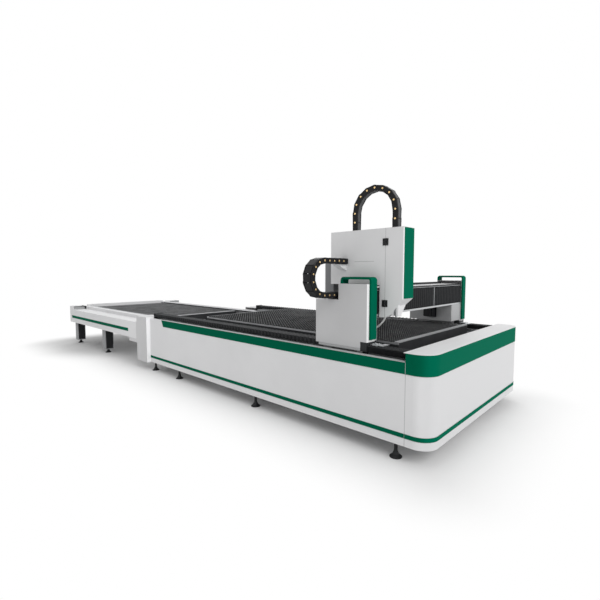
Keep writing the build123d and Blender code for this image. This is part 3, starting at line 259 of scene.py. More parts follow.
def powder_coat(name, colour, roughness=0.45, dust=0.05, peel=0.05, gloss=0.12, seams=(),
                painted_front_lighting=None, painted_lighting_from=0.0):
    """Baked powder paint: orange-peel skin, cloudy shine, dust on what faces up, seams between
    sheets, and painted light or shade: a lighter or darker tone for what faces the operator end
    above a level."""
    material, shader, place = new_finish(name)
    clouds = place.noise(1.3, 5)
    specks = place.noise(38, 4)
    skin = place.noise(520, 2)
    upward = place.facing(2).ramp(0.5, 0.95)
    settled = upward * specks.ramp(0.35, 0.75) * dust + clouds.ramp(0.35, 0.75) * (0.3 * dust)
    paint = clouds.ramp(0.3, 0.7).tint(shaded(colour, 0.94), colour)
    body = settled.tint(paint, shaded(colour, 0.60, 0.12))
    half_gap = 0.0025
    for across, level, along, low, high in seams:
        gap = place.axis(across).between(level - half_gap, level + half_gap)
        body = (gap * place.axis(along).between(low, high)).tint(body, shaded(colour, 0.62))
    # painted light or shade: faces towards the operator end get another tone
    if painted_front_lighting:
        painted_lighting_mask = place.facing(0).ramp(0.3, 0.8) * place.axis(2).above(painted_lighting_from)
        body = painted_lighting_mask.tint(body, painted_front_lighting)
    apply(shader, Base_Color=body, Roughness=roughness + 0.10 * clouds + 0.25 * settled,
          Specular_IOR_Level=gloss, Normal=(skin + 0.4 * specks).bump(peel, 0.0008))
    return material


def finish(material, *names):
    """Puts a finish on CAD nodes."""
    for name in names:
        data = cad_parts[name].data
        data.materials.clear()
        data.materials.append(material)
        for polygon in data.polygons:
            polygon.material_index = 0


frame_paint = powder_coat("frame_paint", from_screen(140, 141, 143), roughness=0.5, dust=0.25,
                          peel=0.09)
finish(frame_paint, "bed_side_beams", "bed_cross_members")


# Covers of the bed and the exchange station: folded sheet steel in white powder coat, hung on the
# frames. The boxes over the joint of the two halves are a tone darker on their sides, with a
# painted highlight on what faces the operator end, and the station's legs are columns painted a mid
# grey, a painted shade for the dim light under the station.
cover_white = from_screen(226, 226, 227)
operator_end_seam = 3.924
skirt_seams = ((0, operator_end_seam, 2, 0.10, 0.733),)
# what faces the operator end is a darker white: a painted shade
skirt_paint = powder_coat("skirt_paint", cover_white, roughness=0.42, peel=0.045,
                          seams=skirt_seams, painted_front_lighting=from_screen(213, 213, 214))
finish(skirt_paint, "side_panels", "front_shroud")
white_paint = powder_coat("white_paint", cover_white, roughness=0.42, peel=0.045)
finish(white_paint, "exchange_side_covers", "exchange_end_covers", "chain_brackets",
       "exchange_frame", "front_deck")
# what faces the operator end is painted lighter: a painted highlight
post_paint = powder_coat("post_paint", from_screen(205, 205, 206), roughness=0.42, peel=0.045,
                         painted_front_lighting=from_screen(244, 244, 245))
finish(post_paint, "transition_posts")
# the legs' grey is painted shade
finish(powder_coat("column_shade_paint", from_screen(158, 159, 161), dust=0.10), "exchange_legs")


# Green skins: thin powder-coated sheets on the sides and round the front, the pinstripes of the
# long sides, the arches over the gantry ends and the front of the head housing.
# what faces the operator end is a lighter green: a painted highlight
green_paint = powder_coat("green_paint", from_screen(0, 92, 67), roughness=0.55, dust=0.0,
                          peel=0.04, gloss=0.01, painted_front_lighting=from_screen(0, 102, 77))
finish(green_paint, "green_bands", "trim_stripes", "gantry_arches", "head_front_panel")


# Pinstripe round the front: a thin green strip on the shroud, which carries the stripes of the
# long sides round both corners and across the end. Its section is drawn along the straights and
# spun round the corners.
shroud_front = 4.140
shroud_side = 1.193
corner_radius = 0.150
stripe_low, stripe_high = 0.209, 0.245
stripe_proud, stripe_sunk = 0.003, 0.0005
stripe = bmesh.new()
section = bmesh.ops.create_grid(stripe, x_segments=1, y_segments=1, size=0.5)["verts"]
for corner in section:
    outer = corner.co.x < 0
    upper = corner.co.y > 0
    corner.co = (operator_end_seam, -shroud_side - (stripe_proud if outer else -stripe_sunk),
                 stripe_high if upper else stripe_low)


def only(kind, geometry):
    """The vertices or the faces among what an operator gives back."""
    return [part for part in geometry if isinstance(part, kind)]


def drawn_on(faces, reach):
    """Draws the strip on along a straight, and gives its new end."""
    grown = bmesh.ops.extrude_face_region(stripe, geom=faces)["geom"]
    bmesh.ops.translate(stripe, verts=only(bmesh.types.BMVert, grown), vec=reach)
    return only(bmesh.types.BMFace, grown)


straight = shroud_front - corner_radius - operator_end_seam
across_end = 2 * (shroud_side - corner_radius)
end_faces = drawn_on(stripe.faces[:], (straight, 0, 0))
for way, reach in ((-1, (0, across_end, 0)), (1, (-straight, 0, 0))):
    centre = (shroud_front - corner_radius, way * (shroud_side - corner_radius), 0)
    turned = bmesh.ops.spin(stripe, geom=end_faces, cent=centre, axis=(0, 0, 1), angle=pi / 2,
                            steps=10)["geom_last"]
    end_faces = drawn_on(only(bmesh.types.BMFace, turned), reach)
bmesh.ops.remove_doubles(stripe, verts=stripe.verts[:], dist=0.0001)
inner = [face for face in stripe.faces if all(len(edge.link_faces) > 2 for edge in face.edges)]
bmesh.ops.delete(stripe, geom=inner, context="FACES")
bmesh.ops.recalc_face_normals(stripe, faces=stripe.faces[:])


def put(name, mesh, materials, body=None):
    """Makes a piece of a mesh, with its finishes, on the body that carries it."""
    data = bpy.data.meshes.new(name)
    mesh.to_mesh(data)
    mesh.free()
    for material in materials:
        data.materials.append(material)
    piece = bpy.data.objects.new(name, data)
    bpy.context.scene.collection.objects.link(piece)
    if body:
        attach(piece, body)
    return piece


put("front_pinstripe", stripe, [green_paint], "bed")


# Edging of the side bands: a light folded strip that caps each band along its top, and a narrow
# one over its joint with the front band. Both are pressed on over the edge of the sheet, and their
# light grey is a painted highlight on those edges.
edging_highlight_paint = powder_coat("edging_highlight_paint", from_screen(182, 183, 184), roughness=0.40, peel=0.04)
cap_strip = ((-0.080, 1.150, 0.8285), (operator_end_seam, 1.1985, 0.8330))
half_joint = 0.0015
joint_strip = ((operator_end_seam - half_joint, 1.194, 0.734),
               (operator_end_seam + half_joint, 1.1975, 0.828))
edging = bmesh.new()


def box_between(mesh, low, high, way):
    """A box between two corners on the far side, or mirrored to the near side with a way of -1."""
    for corner in bmesh.ops.create_cube(mesh, size=1.0)["verts"]:
        corner.co = [a + (c + 0.5) * (b - a) for a, b, c in zip(low, high, corner.co)]
        corner.co.y *= way


for way in (-1, 1):
    for low, high in (cap_strip, joint_strip):
        box_between(edging, low, high, way)
bmesh.ops.recalc_face_normals(edging, faces=edging.faces[:])
bmesh.ops.bevel(edging, geom=edging.edges[:], offset=0.0008, affect="EDGES", segments=1,
                profile=0.5, material=-1)
put("band_edging", edging, [edging_highlight_paint], "bed")


# Grey covers of the gantry: folded sheet over the ends of the beam, the beam itself and the two
# chain trays, in grey powder coat. The near end cover has a painted highlight on its narrow front.
cover_grey = from_screen(198, 198, 199)
finish(powder_coat("grey_paint", cover_grey),
       "gantry_beam", "end_cover_far", "y_chain_tray", "x_chain_tray")
finish(powder_coat("near_cover_paint", cover_grey, painted_front_lighting=from_screen(246, 246, 247)),
       "end_cover_near")


# Gantry legs: welded plate in grey paint. The arm that carries the long chain, beyond the far
# leg, and the front ends of the base plates are black.
arm_from = 1.131
base_end_from, base_top = 3.447, 0.930
leg_paint, shader, place = new_finish("leg_paint")
clouds = place.noise(1.6, 5)
skin = place.noise(500, 2)
base_end = place.axis(0).above(base_end_from) * place.axis(2).below(base_top)
black_areas = place.axis(1).above(arm_from).either(base_end)
grey_tones = clouds.tint(from_screen(176, 177, 178), from_screen(188, 189, 190))
black_tones = clouds.tint(from_screen(34, 35, 37), from_screen(52, 53, 55))
apply(shader, Base_Color=black_areas.tint(grey_tones, black_tones), Roughness=0.44 + 0.1 * clouds,
      Specular_IOR_Level=0.2, Normal=skin.bump(0.06, 0.0008))
finish(leg_paint, "gantry_legs")


# Head housing: folded white sheet round the head's slide, with a hinged front part behind a
# vertical joint line and the edge of a panel on its side. The rear box behind it is grey.
door_line = (0, 3.579, 2, 1.0, 2.0)
panel_line = (2, 1.645, 0, 3.247, 3.462)
# above the level, what faces the operator end is painted lighter: a painted highlight
housing_paint = powder_coat("housing_paint", cover_white, roughness=0.42, peel=0.045,
                            seams=(door_line, panel_line), painted_front_lighting=from_screen(246, 246, 247),
                            painted_lighting_from=1.312)
finish(housing_paint, "head_housing", "head_door")
finish(powder_coat("box_paint", from_screen(132, 133, 135), dust=0.08), "rear_box")


# Bright steel: ground rails and racks, turned wheels, shafts and pinions, and milled plates, with
# the marks of the tool and a film of oil that holds a little dust.
def ground_steel(name, colour, roughness, stretch):
    """Bare steel with fine marks along one way, and darker oily clouds."""
    material, shader, place = new_finish(name)
    marks = place.noise(240, 3, stretch)
    oil = place.noise(6, 4).ramp(0.45, 0.72)
    apply(shader, Base_Color=(0.45 * oil).tint(colour, shaded(colour, 0.55)), Metallic=1.0,
          Roughness=roughness + 0.18 * marks + 0.12 * oil, Normal=marks.bump(0.12, 0.0004))
    return material


rail_steel = ground_steel("rail_steel", from_screen(178, 180, 182), 0.22, (0.02, 1, 1))
finish(rail_steel, "x_rails", "z_screw", "scrap_trays")
turned_steel = ground_steel("turned_steel", from_screen(170, 171, 172), 0.28, (1, 0.03, 1))
finish(turned_steel, "upper_wheelset_rear", "upper_wheelset_front", "lower_wheelset_rear",
       "lower_wheelset_front", "exchange_drive_shaft", "x_pinion_near", "x_pinion_far", "y_pinion")
milled_alloy = ground_steel("milled_alloy", from_screen(196, 198, 200), 0.34, (1, 1, 0.05))
finish(milled_alloy, "carriage_plate", "z_slide", "cutting_head")


# Beam guides: ground steel rails with a rack, screwed to the beam. Their upper part is dark, but
# for one light line.
black_from = 1.350
bright_line = (1.380, 1.386)
guide_steel, shader, place = new_finish("guide_steel")
marks = place.noise(240, 3, (1, 0.02, 1))
dark_band = place.axis(2).above(black_from) - place.axis(2).between(*bright_line)
apply(shader, Base_Color=dark_band.tint(from_screen(196, 198, 200), from_screen(36, 37, 39)),
      Metallic=0.9 - 0.7 * dark_band, Roughness=0.26 + 0.2 * marks + 0.2 * dark_band,
      Normal=marks.bump(0.12, 0.0004))
finish(guide_steel, "beam_guides")


# Black parts: blackened brackets, hinge leaves and feet, and the servo motors in black enamel,
# each bolted to what it serves.
def black_enamel(name, shade, roughness):
    """Black paint or blackening, worn a little grey in clouds."""
    material, shader, place = new_finish(name)
    clouds = place.noise(9, 5)
    skin = place.noise(300, 3)
    apply(shader, Base_Color=(0.5 * clouds.ramp(0.5, 0.8)).tint(shade, shaded(shade, 2.2)),
          Roughness=roughness + 0.2 * clouds, Specular_IOR_Level=0.25,
          Normal=skin.bump(0.10, 0.0005))
    return material


black_metal = black_enamel("black_metal", from_screen(30, 31, 33), 0.45)
finish(black_metal, "bellows_brackets", "hinge_fixed_leaves", "hinge_door_leaves")
motor_black = black_enamel("motor_black", from_screen(32, 33, 36), 0.35)
finish(motor_black, "x_motors", "axis_motors", "exchange_drive_motor")


# Levelling feet: a flared cast pad on a threaded stem, with a lock nut under the frame that it is
# screwed into. Pad and stem are one outline, spun.
def feet(name, places, top):
    """Flared pads, stems and lock nuts under a frame at a level."""
    stem_radius = 0.0145
    nut_radius, nut_height = 0.024, 0.014
    outline = ((0.0, 0.0), (0.052, 0.0), (0.054, 0.006), (0.046, 0.013), (0.030, 0.026),
               (0.021, 0.044), (0.015, 0.062), (stem_radius, top - 0.016), (stem_radius, top))
    mesh = bmesh.new()
    for x, y in places:
        points = [mesh.verts.new((x + radius, y, level)) for radius, level in outline
                  if level <= top]
        profile = [mesh.edges.new(pair) for pair in zip(points, points[1:])]
        bmesh.ops.spin(mesh, geom=points + profile, cent=(x, y, 0), axis=(0, 0, 1), angle=2 * pi,
                       steps=20, use_merge=True)
        bmesh.ops.create_cone(mesh, cap_ends=True, segments=6, radius1=nut_radius,
                              radius2=nut_radius, depth=nut_height,
                              matrix=Matrix.Translation((x, y, top - nut_height / 2)))
    bmesh.ops.remove_doubles(mesh, verts=mesh.verts[:], dist=0.0002)
    bmesh.ops.recalc_face_normals(mesh, faces=mesh.faces[:])
    piece = put(name, mesh, [black_metal], "bed")
    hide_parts("leveling_feet")


bed_feet_x, bed_feet_y = (3.817, 2.009, 0.299, -0.426), 1.130
exchange_feet_x, exchange_feet_y = (-3.984, -2.427), 1.105
feet("bed_feet", [(x, way * bed_feet_y) for x in bed_feet_x for way in (-1, 1)], 0.190)
feet("exchange_feet", [(x, way * exchange_feet_y) for x in exchange_feet_x for way in (-1, 1)],
     0.070)


# Dark panels of the exchange station, all painted shade: a black sheet on the face of each leg
# towards the bed, a sheet in the pocket of each rear corner block, grey but for its black rim, with
# the grey as the lit part of the pocket's floor, and a black wall at the end of the near pocket.
rear_end = -4.140
leg_depth = 0.075
leg_face_x = [rear_end + from_end + leg_depth for from_end in (0.156, 1.713)]
leg_middle_y, leg_middle_z = 1.105, 0.305
leg_shade_sheet = (0, 0.128, 0.440)
pocket_shade_sheet = (0, 0.254, 0.066)
pocket_shade_wall = (0.194, 0, 0.013)
pocket_low, pocket_high = 0.70, 0.797
pocket_grey_from = 1.035
shade_sheet_paint, shader, place = new_finish("shade_sheet_paint")
clouds = place.noise(9, 5)
pocket_front = -3.85
in_pocket = place.axis(0).below(pocket_front) * place.axis(2).between(pocket_low, pocket_high)
# the grey part is painted light on the pocket's floor; the rest of the sheets is painted shade
painted_lit_part = in_pocket * place.axis(1).unsigned().above(pocket_grey_from)
black_tones = clouds.tint(from_screen(28, 29, 31), from_screen(40, 41, 43))
grey_tones = clouds.tint(from_screen(150, 151, 152), from_screen(164, 165, 166))
apply(shader, Base_Color=painted_lit_part.tint(black_tones, grey_tones), Roughness=0.45 + 0.2 * clouds,
      Specular_IOR_Level=0.25, Normal=clouds.bump(0.10, 0.0005))
panels = bmesh.new()


def shade_sheet(middle, size, turned_about):
    """A flat sheet of painted shade by its middle and size, turned upright about an axis."""
    sheet = bmesh.ops.create_grid(panels, x_segments=1, y_segments=1, size=0.5,
                                  matrix=Matrix.Rotation(pi / 2, 4, turned_about))["verts"]
    for corner in sheet:
        corner.co = [m + c * s for m, c, s in zip(middle, corner.co, size)]


for x in leg_face_x:
    for way in (-1, 1):
        shade_sheet((x, way * leg_middle_y, leg_middle_z), leg_shade_sheet, "Y")
for way in (-1, 1):
    shade_sheet((-3.900, way * 1.122, 0.779), pocket_shade_sheet, "Y")
shade_sheet((-4.020, -1.018, 0.8085), pocket_shade_wall, "X")
panels.normal_update()
bmesh.ops.inset_individual(panels, faces=panels.faces[:], thickness=0.003, depth=0.0015)
bmesh.ops.recalc_face_normals(panels, faces=panels.faces[:])
put("dark_panels", panels, [shade_sheet_paint], "bed")


# Pallet frames and their tracks: welded from dark plate and tube. The top of the bars, which the
# sheets slide over, and a strip down the upper pallet's sides are worn bright.
def pallet_steel(name, top, worn_from=-5.0, strip=0.0):
    """Dark mill-scale steel, worn bright on the bars at a level and down a strip of the sides."""
    side_from = 0.834
    material, shader, place = new_finish(name)
    scale = place.noise(7, 5)
    scratches = place.noise(90, 3, (0.15, 1, 1))
    upward = place.facing(2).ramp(0.5, 0.9)
    height = place.axis(2)
    bars = height.above(top - 0.010).either(upward * height.above(top - 0.018))
    bars = bars * place.axis(0).above(worn_from)
    sides = place.axis(1).unsigned().above(side_from) * height.above(top - strip)
    worn = bars.either(sides)
    mill_scale = scale.tint(from_screen(30, 31, 33), from_screen(54, 55, 57))
    bright = scratches.tint(from_screen(148, 149, 151), from_screen(196, 197, 199))
    apply(shader, Base_Color=worn.tint(mill_scale, bright), Metallic=0.2 + 0.5 * worn,
          Roughness=0.50 + 0.15 * scratches, Specular_IOR_Level=0.3,
          Normal=scratches.bump(0.12, 0.0005))
    return material


finish(pallet_steel("upper_pallet_steel", 0.913, worn_from=0.70, strip=0.026),
       "upper_pallet_frame")
finish(pallet_steel("lower_pallet_steel", 0.775), "lower_pallet_frame")
finish(pallet_steel("track_steel", 0.794), "pallet_tracks")


# Gantry foot plates: bright milled plates bolted to the front of each gantry foot, just over the
# bellows, with the hexagon heads of their screws.
foot_plate = ((3.514, 0.995, 0.898), (3.590, 1.075, 0.908))
toe_plate = ((3.590, 0.950, 0.898), (3.640, 1.060, 0.904))
screw_places = [(x, y) for x in (3.535, 3.572) for y in (1.015, 1.055)]
head_middle_z, head_wide, head_narrow, head_height = 0.911, 0.008, 0.0072, 0.006
plates = bmesh.new()
for way in (-1, 1):
    for low, high in (foot_plate, toe_plate):
        box_between(plates, low, high, way)
bmesh.ops.recalc_face_normals(plates, faces=plates.faces[:])
bmesh.ops.bevel(plates, geom=plates.edges[:], offset=0.0012, affect="EDGES", segments=2,
                profile=0.5, material=-1)
for way in (-1, 1):
    for x, y in screw_places:
        bmesh.ops.create_cone(plates, cap_ends=True, segments=6, radius1=head_wide,
                              radius2=head_narrow, depth=head_height,
                              matrix=Matrix.Translation((x, way * y, head_middle_z)))
bmesh.ops.recalc_face_normals(plates, faces=plates.faces[:])
put("gantry_foot_plates", plates, [milled_alloy], "gantry")


# Pallet blades: strips of sheet steel on edge with a row of points cut along the top, which carry
# the sheet being cut. They stand in the pallet frame and are scorched and spattered.
def scorched_steel(name, clean, sooty, top):
    """Mild steel strip, darkened by smoke, streaked, spattered, a little rusty, and lighter at its
    points, partly rubbed bare and partly a painted highlight."""
    material, shader, place = new_finish(name)
    streaks = place.noise(30, 4, (1, 1, 0.15))
    spatter = place.node("ShaderNodeTexVoronoi", {}, {"Vector": place, "Scale": 140.0})
    soot = place.noise(4, 5).ramp(0.3, 0.7) * 0.6 + streaks.ramp(0.4, 0.8) * 0.5
    rust = place.noise(11, 6).ramp(0.58, 0.74)
    bare_and_highlit = place.axis(2).ramp(top - 0.016, top - 0.002) * (0.35 + 0.65 * streaks.ramp(0.35, 0.6))
    body = (0.30 * rust).tint(soot.tint(clean, sooty), from_screen(96, 78, 66))
    apply(shader, Base_Color=bare_and_highlit.tint(body, from_screen(150, 151, 152)), Metallic=0.6,
          Roughness=0.46 + 0.25 * soot, Specular_IOR_Level=0.3,
          Normal=(spatter + 0.6 * streaks).bump(0.25, 0.0012))
    return material


def blades(name, cad_name, body, material):
    """All blades of one pallet: a toothed strip, thickened, and repeated along the pallet."""
    thickness = 0.003
    pitch = 0.048
    point_count = 42
    point_depth = 0.026
    low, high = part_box(cad_name)
    strip = bmesh.new()
    bmesh.ops.create_grid(strip, x_segments=2 * point_count, y_segments=1, size=0.5)
    for corner in strip.verts:
        share = corner.co.x + 0.5
        top = corner.co.y > 0
        valley = round(share * 2 * point_count) % 2 == 0
        level = high.z - (point_depth if valley else 0.0) if top else low.z
        corner.co = (low.x, low.y + share * (high.y - low.y), level)
    back = bmesh.ops.extrude_face_region(strip, geom=strip.faces[:])["geom"]
    bmesh.ops.translate(strip, verts=only(bmesh.types.BMVert, back), vec=(thickness, 0, 0))
    bmesh.ops.recalc_face_normals(strip, faces=strip.faces[:])
    first = strip.faces[:]
    for number in range(1, round((high.x - low.x - thickness) / pitch) + 1):
        copy = bmesh.ops.duplicate(strip, geom=first)["geom"]
        bmesh.ops.translate(strip, verts=only(bmesh.types.BMVert, copy),
                            vec=(number * pitch, 0, 0))
    piece = put(name, strip, [material], body)
    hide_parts(cad_name)


# one steel in two tones: the upper pallet's blades, inside the bed, are darker, a painted shade
blades("upper_blades", "upper_pallet_slats", "upper_pallet",
       scorched_steel("upper_blade_steel", from_screen(80, 81, 82), from_screen(28, 28, 30),
                      0.918))
blades("lower_blades", "lower_pallet_slats", "lower_pallet",
       scorched_steel("lower_blade_steel", from_screen(132, 133, 134), from_screen(66, 66, 68),
                      0.780))


# Bellows over the long guides and over the beam guides: coated cloth folded over stiffening
# sheets, drawn out and pushed together as the gantry and the carriage travel. Each is drawn fold
# by fold, and marks its crests, which the finish paints lighter as a painted highlight on the fold
# edges, with a higher mark at a light joint strip.
fold_depth = 0.010
joint_mark = 2.0
bellows_cloth, shader, place = new_finish("bellows_cloth")
weave = place.node("ShaderNodeTexWave", {"bands_direction": "DIAGONAL"},
                   {"Vector": place, "Scale": 620.0})
rubbed = place.noise(14, 5).ramp(0.45, 0.8)
mark = place.node("ShaderNodeAttribute", {"attribute_name": "crest"}, output="Fac")
upward = place.facing(2).ramp(0.3, 0.8)
# painted highlight: the crests are lighter, most where they face up
crest_highlight = mark.ramp(0.45, 1.0) * (0.45 + 0.55 * upward)
cloth = (0.3 * rubbed + 0.7 * crest_highlight).tint(from_screen(22, 23, 25), from_screen(64, 65, 67))
apply(shader, Base_Color=mark.ramp(1.2, 1.9).tint(cloth, from_screen(150, 151, 153)),
      Roughness=0.62 + 0.15 * rubbed, Specular_IOR_Level=0.2, Normal=weave.bump(0.12, 0.0004))


def bellows(name, low, high, along, fold_count, joined_at=None):
    """A pleated tunnel between two corners, pleated on its top and both sides."""
    fold = (high[along] - low[along]) / fold_count
    mesh = bmesh.new()
    crest = mesh.verts.layers.float.new("crest")
    bmesh.ops.create_grid(mesh, x_segments=1, y_segments=1, size=0.5)
    marks = {corner: (1 if corner.co.x > 0 else -1, corner.co.y > 0) for corner in mesh.verts}

    def place_corners(marks, reach, inset):
        """Puts a section's corners at a reach along the tunnel, set in all round by an inset."""
        across, out = (1, 2) if along == 0 else (2, 0)
        for corner, (side, top) in marks.items():
            spot = [0.0, 0.0, 0.0]
            spot[along] = reach
            half = (high[across] - low[across]) / 2
            spot[across] = (low[across] + high[across]) / 2 + side * (half - inset)
            spot[out] = high[out] - inset if top else low[out]
            corner.co = spot
            corner[crest] = 1.0 if inset == 0.0 else 0.0
            at_joint = joined_at is not None and abs(reach - joined_at) < 0.5 * fold
            if at_joint and inset == 0.0:
                corner[crest] = joint_mark

    place_corners(marks, low[along], fold_depth)
    faces = mesh.faces[:]
    for number in range(fold_count):
        for share, inset in ((0.42, 0.0), (0.58, 0.0), (1.0, fold_depth)):
            grown = bmesh.ops.extrude_face_region(mesh, geom=faces)["geom"]
            faces = only(bmesh.types.BMFace, grown)
            fresh = {}
            for corner in faces[0].verts:
                nearest = min(marks, key=lambda old: (old.co - corner.co).length)
                fresh[corner] = marks[nearest]
            marks = fresh
            place_corners(marks, low[along] + (number + share) * fold, inset)
    bmesh.ops.recalc_face_normals(mesh, faces=mesh.faces[:])
    return put(name, mesh, [bellows_cloth], None)


long_folds = 62
long_inner, long_outer = 0.985, 1.120
for label, y0, y1 in (("near", -long_outer, -long_inner), ("far", long_inner, long_outer)):
    for node, ends in (("x_bellows_rear", ("bed", "gantry")),
                       ("x_bellows_front", ("gantry", "bed"))):
        low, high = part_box(node)
        piece = bellows(f"{node}_{label}", (low.x, y0, low.z), (high.x, y1, high.z), 0,
                        long_folds)
        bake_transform(piece)
        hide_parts(node)

beam_folds = 40
beam_joint = 0.222
for node, ends in (("beam_bellows_far", ("carriage", "gantry")),
                   ("beam_bellows_near", ("gantry", "carriage"))):
    low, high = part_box(node)
    piece = bellows(f"{node}_cloth", tuple(low), tuple(high), 1, beam_folds, beam_joint)
    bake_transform(piece)
    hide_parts(node)


# Energy chains: moulded black links with round-ended side plates and crossbars, hung on
# brass-coloured pins. Each chain is in three pieces: a run from the fixed end, the bend, and a
# run to the moving end.
chain_black, shader, place = new_finish("chain_black")
mould = place.noise(90, 4)
scuffs = place.noise(22, 5).ramp(0.55, 0.78)
apply(shader, Base_Color=(0.5 * scuffs).tint(from_screen(22, 22, 24), from_screen(48, 49, 51)),
      Roughness=0.46 + 0.2 * scuffs, Specular_IOR_Level=0.2, Normal=mould.bump(0.15, 0.0006))
crossbar_grey, shader, place = new_finish("crossbar_grey")
scuffs = place.noise(40, 4)
apply(shader, Base_Color=scuffs.tint(from_screen(52, 53, 55), from_screen(84, 85, 87)),
      Roughness=0.5 + 0.1 * scuffs, Normal=scuffs.bump(0.10, 0.0006))
pin_brass = ground_steel("pin_brass", from_screen(250, 218, 160), 0.34, (1, 1, 1))
chain_finishes = [chain_black, crossbar_grey, pin_brass]
black_tone, grey_tone, brass_tone = range(3)


def paint_faces(corners, tone):
    """Gives the faces on some vertices one of the chain's finishes."""
    for face in {face for corner in corners for face in corner.link_faces}:
        face.material_index = tone


def chain_links(name, node, joints, across, odd, is_run, bar_tone):
    """Links between joints: two round-ended plates each, every other pair set in, two crossbars
    and pin heads. The last plates of a straight run are cut off at its end."""
    rise = 0.0270
    plate = 0.007
    set_in = 0.0022
    bar_thickness, bar_overlap, bar_set_in = 0.0035, 1.07, 0.0025
    pin_wide, pin_narrow, pin_depth, pin_sunk = 0.0115, 0.008, 0.0035, 0.0010
    mesh = bmesh.new()
    low, high = (corner[across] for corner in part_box(node))
    way = Vector((0, 0, 0))
    way[across] = 1
    for number, (near, far) in enumerate(zip(joints, joints[1:])):
        along = (far - near).normalized()
        turn = Matrix((along, way.cross(along), way)).transposed().to_4x4()
        middle = (near + far) / 2
        half = (far - near).length / 2
        setback = set_in if (number + odd) % 2 else 0.0
        for side in (-1, 1):
            disc = bmesh.ops.create_circle(mesh, cap_ends=True, segments=14, radius=rise)["verts"]
            for corner in disc:
                corner.co.x += half if corner.co.x > 0 else -half
                if is_run and number == len(joints) - 2:
                    corner.co.x = min(corner.co.x, half)
            spot = middle.copy()
            spot[across] = (low + setback) if side < 0 else (high - setback - plate)
            bmesh.ops.transform(mesh, matrix=Matrix.Translation(spot) @ turn, verts=disc)
            outline = list({face for corner in disc for face in corner.link_faces})
            grown = bmesh.ops.extrude_face_region(mesh, geom=outline)["geom"]
            bmesh.ops.translate(mesh, vec=plate * way, verts=only(bmesh.types.BMVert, grown))
        spot = middle.copy()
        spot[across] = (low + high) / 2
        size = Matrix.Diagonal((2 * half * bar_overlap, bar_thickness, high - low - 4 * plate, 1))
        for edge in (-1, 1):
            offset = Matrix.Translation((0, edge * (rise - bar_set_in), 0))
            bar = bmesh.ops.create_cube(mesh, size=1.0)["verts"]
            bmesh.ops.transform(mesh, verts=bar,
                                matrix=Matrix.Translation(spot) @ turn @ offset @ size)
            paint_faces(bar, bar_tone)
    for joint in joints[:-1] if is_run else joints[1:-1]:
        for outer, side in ((low, -1), (high, 1)):
            spot = joint.copy()
            spot[across] = outer - side * pin_sunk
            head = Matrix.Translation(spot) @ way.to_track_quat("Z", "Y").to_matrix().to_4x4()
            lower, upper = (pin_wide, pin_narrow) if side > 0 else (pin_narrow, pin_wide)
            pin = bmesh.ops.create_cone(mesh, cap_ends=True, segments=10, radius1=lower,
                                        radius2=upper, depth=pin_depth, matrix=head)["verts"]
            paint_faces(pin, brass_tone)
    bmesh.ops.recalc_face_normals(mesh, faces=mesh.faces[:])
    return put(name, mesh, chain_finishes, None)


def link_pitch(radius, steps):
    """The length of a link with whole links in the half turn."""
    return 2 * radius * sin(pi / steps / 2)


def on_axis(axis, value):
    """The point at a value on an axis."""
    return tuple(value if index == axis else 0 for index in range(3))


def energy_chain(node, across, along, way, fixed, moving, steps, counts,
                 parts=("fixed_run", "bend", "moving_run"), fixed_odd=1, bar_tone=black_tone):
    """A run of links from the fixed end, the bend, and a run to the moving end. The two runs
    leave the bend along an axis, one way, from the points fixed and moving."""
    roll = 10.0  # how far the bend's piece reaches along the chain, much longer than the bend
    bend = fixed[along]
    radius = sum(abs(b - a) for a, b in zip(fixed, moving)) / 2
    pitch = link_pitch(radius, steps)
    step = Vector(on_axis(along, way * pitch))
    middle = (Vector(fixed) + Vector(moving)) / 2
    first = (Vector(moving) - Vector(fixed)).normalized()
    second = Vector(on_axis(along, -way))
    turn = [middle + radius * (cos(pi * n / steps) * first + sin(pi * n / steps) * second)
            for n in range(steps + 1)]
    fixed_run, moving_run = ([Vector(start) + number * step for number in range(count + 1)]
                             for start, count in zip((fixed, moving), counts))
    for part, joints, reach, odd in ((parts[0], fixed_run, counts[0] * pitch, fixed_odd),
                                     (parts[1], turn, roll, 0),
                                     (parts[2], moving_run, -counts[1] * pitch, 1)):
        piece = chain_links(f"{node}_{part}", node, joints, across, odd, joints is not turn,
                            bar_tone)
        on_axis(along, bend + way * reach)
        on_axis(along, bend - way * reach)
        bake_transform(piece)
        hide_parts(node)


def middle_of(node, axis):
    """The middle of a CAD node along an axis."""
    low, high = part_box(node)
    return (low[axis] + high[axis]) / 2


# the chain of the carriage, behind the beam
x = middle_of("y_chain", 0)
bend = -1.2994
energy_chain("y_chain", across=0, along=1, way=1,
             fixed=(x, bend, 1.336), moving=(x, bend, 1.650), steps=7, counts=(16, 5))
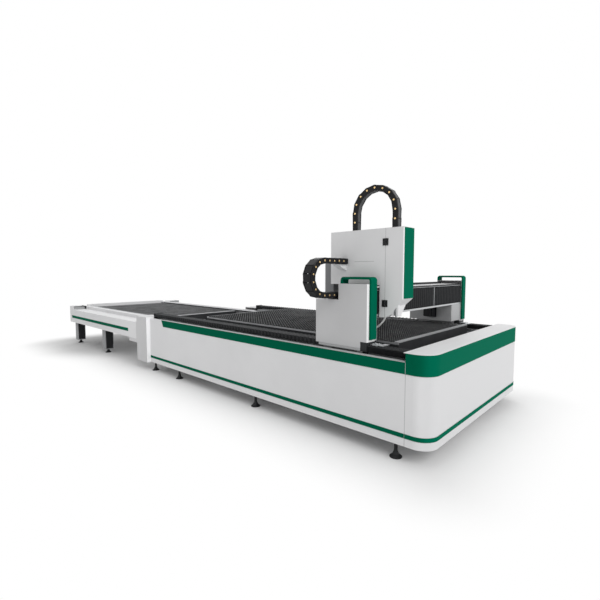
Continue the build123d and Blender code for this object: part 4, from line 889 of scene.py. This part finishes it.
# the chain of the gantry, along the far side
y = middle_of("x_chain", 1)
lower, upper = 0.595, 0.8167
moving_links = 24
bend = 3.3397 - moving_links * link_pitch((upper - lower) / 2, 5)
energy_chain("x_chain", across=1, along=0, way=1,
             fixed=(bend, y, lower), moving=(bend, y, upper), steps=5, counts=(2, moving_links))
# the chain of the head, in an arch over the housing
y = middle_of("z_chain", 1)
bend = 2.097
energy_chain("z_chain", across=1, along=2, way=-1,
             fixed=(3.229, y, bend), moving=(3.653, y, bend), steps=8, counts=(4, 4),
             parts=("rear_leg", "bend", "front_leg"), fixed_odd=0, bar_tone=grey_tone)


# Gas hose: smooth white plastic tube of one length, held at both ends. It goes from the rear box
# down, under the beam and up into the carriage.
hose_x = 2.908
hose_y = -0.887
hose_top = 1.343
hose_diameter = 0.016
hose_route = [(hose_x, hose_top), (hose_x, 1.240), (hose_x - 0.006, 1.120),
              (hose_x + 0.016, 1.010), (hose_x + 0.096, 0.953), (hose_x + 0.206, 0.943),
              (hose_x + 0.326, 0.945), (hose_x + 0.446, 0.965), (hose_x + 0.551, 1.025),
              (hose_x + 0.626, 1.095), (3.562, 1.155), (3.562, 1.215)]
hose_white, shader, place = new_finish("hose_white")
grime = place.noise(30, 4).ramp(0.5, 0.8)
ribs = place.noise(180, 2)
apply(shader, Base_Color=(0.3 * grime).tint(from_screen(250, 250, 248), from_screen(206, 205, 200)),
      Roughness=0.34 + 0.2 * grime, Coat_Weight=0.2, Normal=ribs.bump(0.05, 0.0004))
hose_curve = bpy.data.curves.new("gas_hose", "CURVE")
hose_curve.dimensions = "3D"
hose_curve.bevel_depth = hose_diameter / 2
hose_curve.bevel_resolution = 4
hose_curve.resolution_u = 12
line = hose_curve.splines.new("NURBS")
line.points.add(len(hose_route) - 1)
for point, (x, z) in zip(line.points, hose_route):
    point.co = (x, hose_y, z, 1)
line.order_u = 3
line.use_endpoint_u = True
hose = bpy.data.objects.new("gas_hose", hose_curve)
bpy.context.scene.collection.objects.link(hose)
hose_curve.materials.append(hose_white)
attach(hose, "carriage")
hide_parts("head_hose")
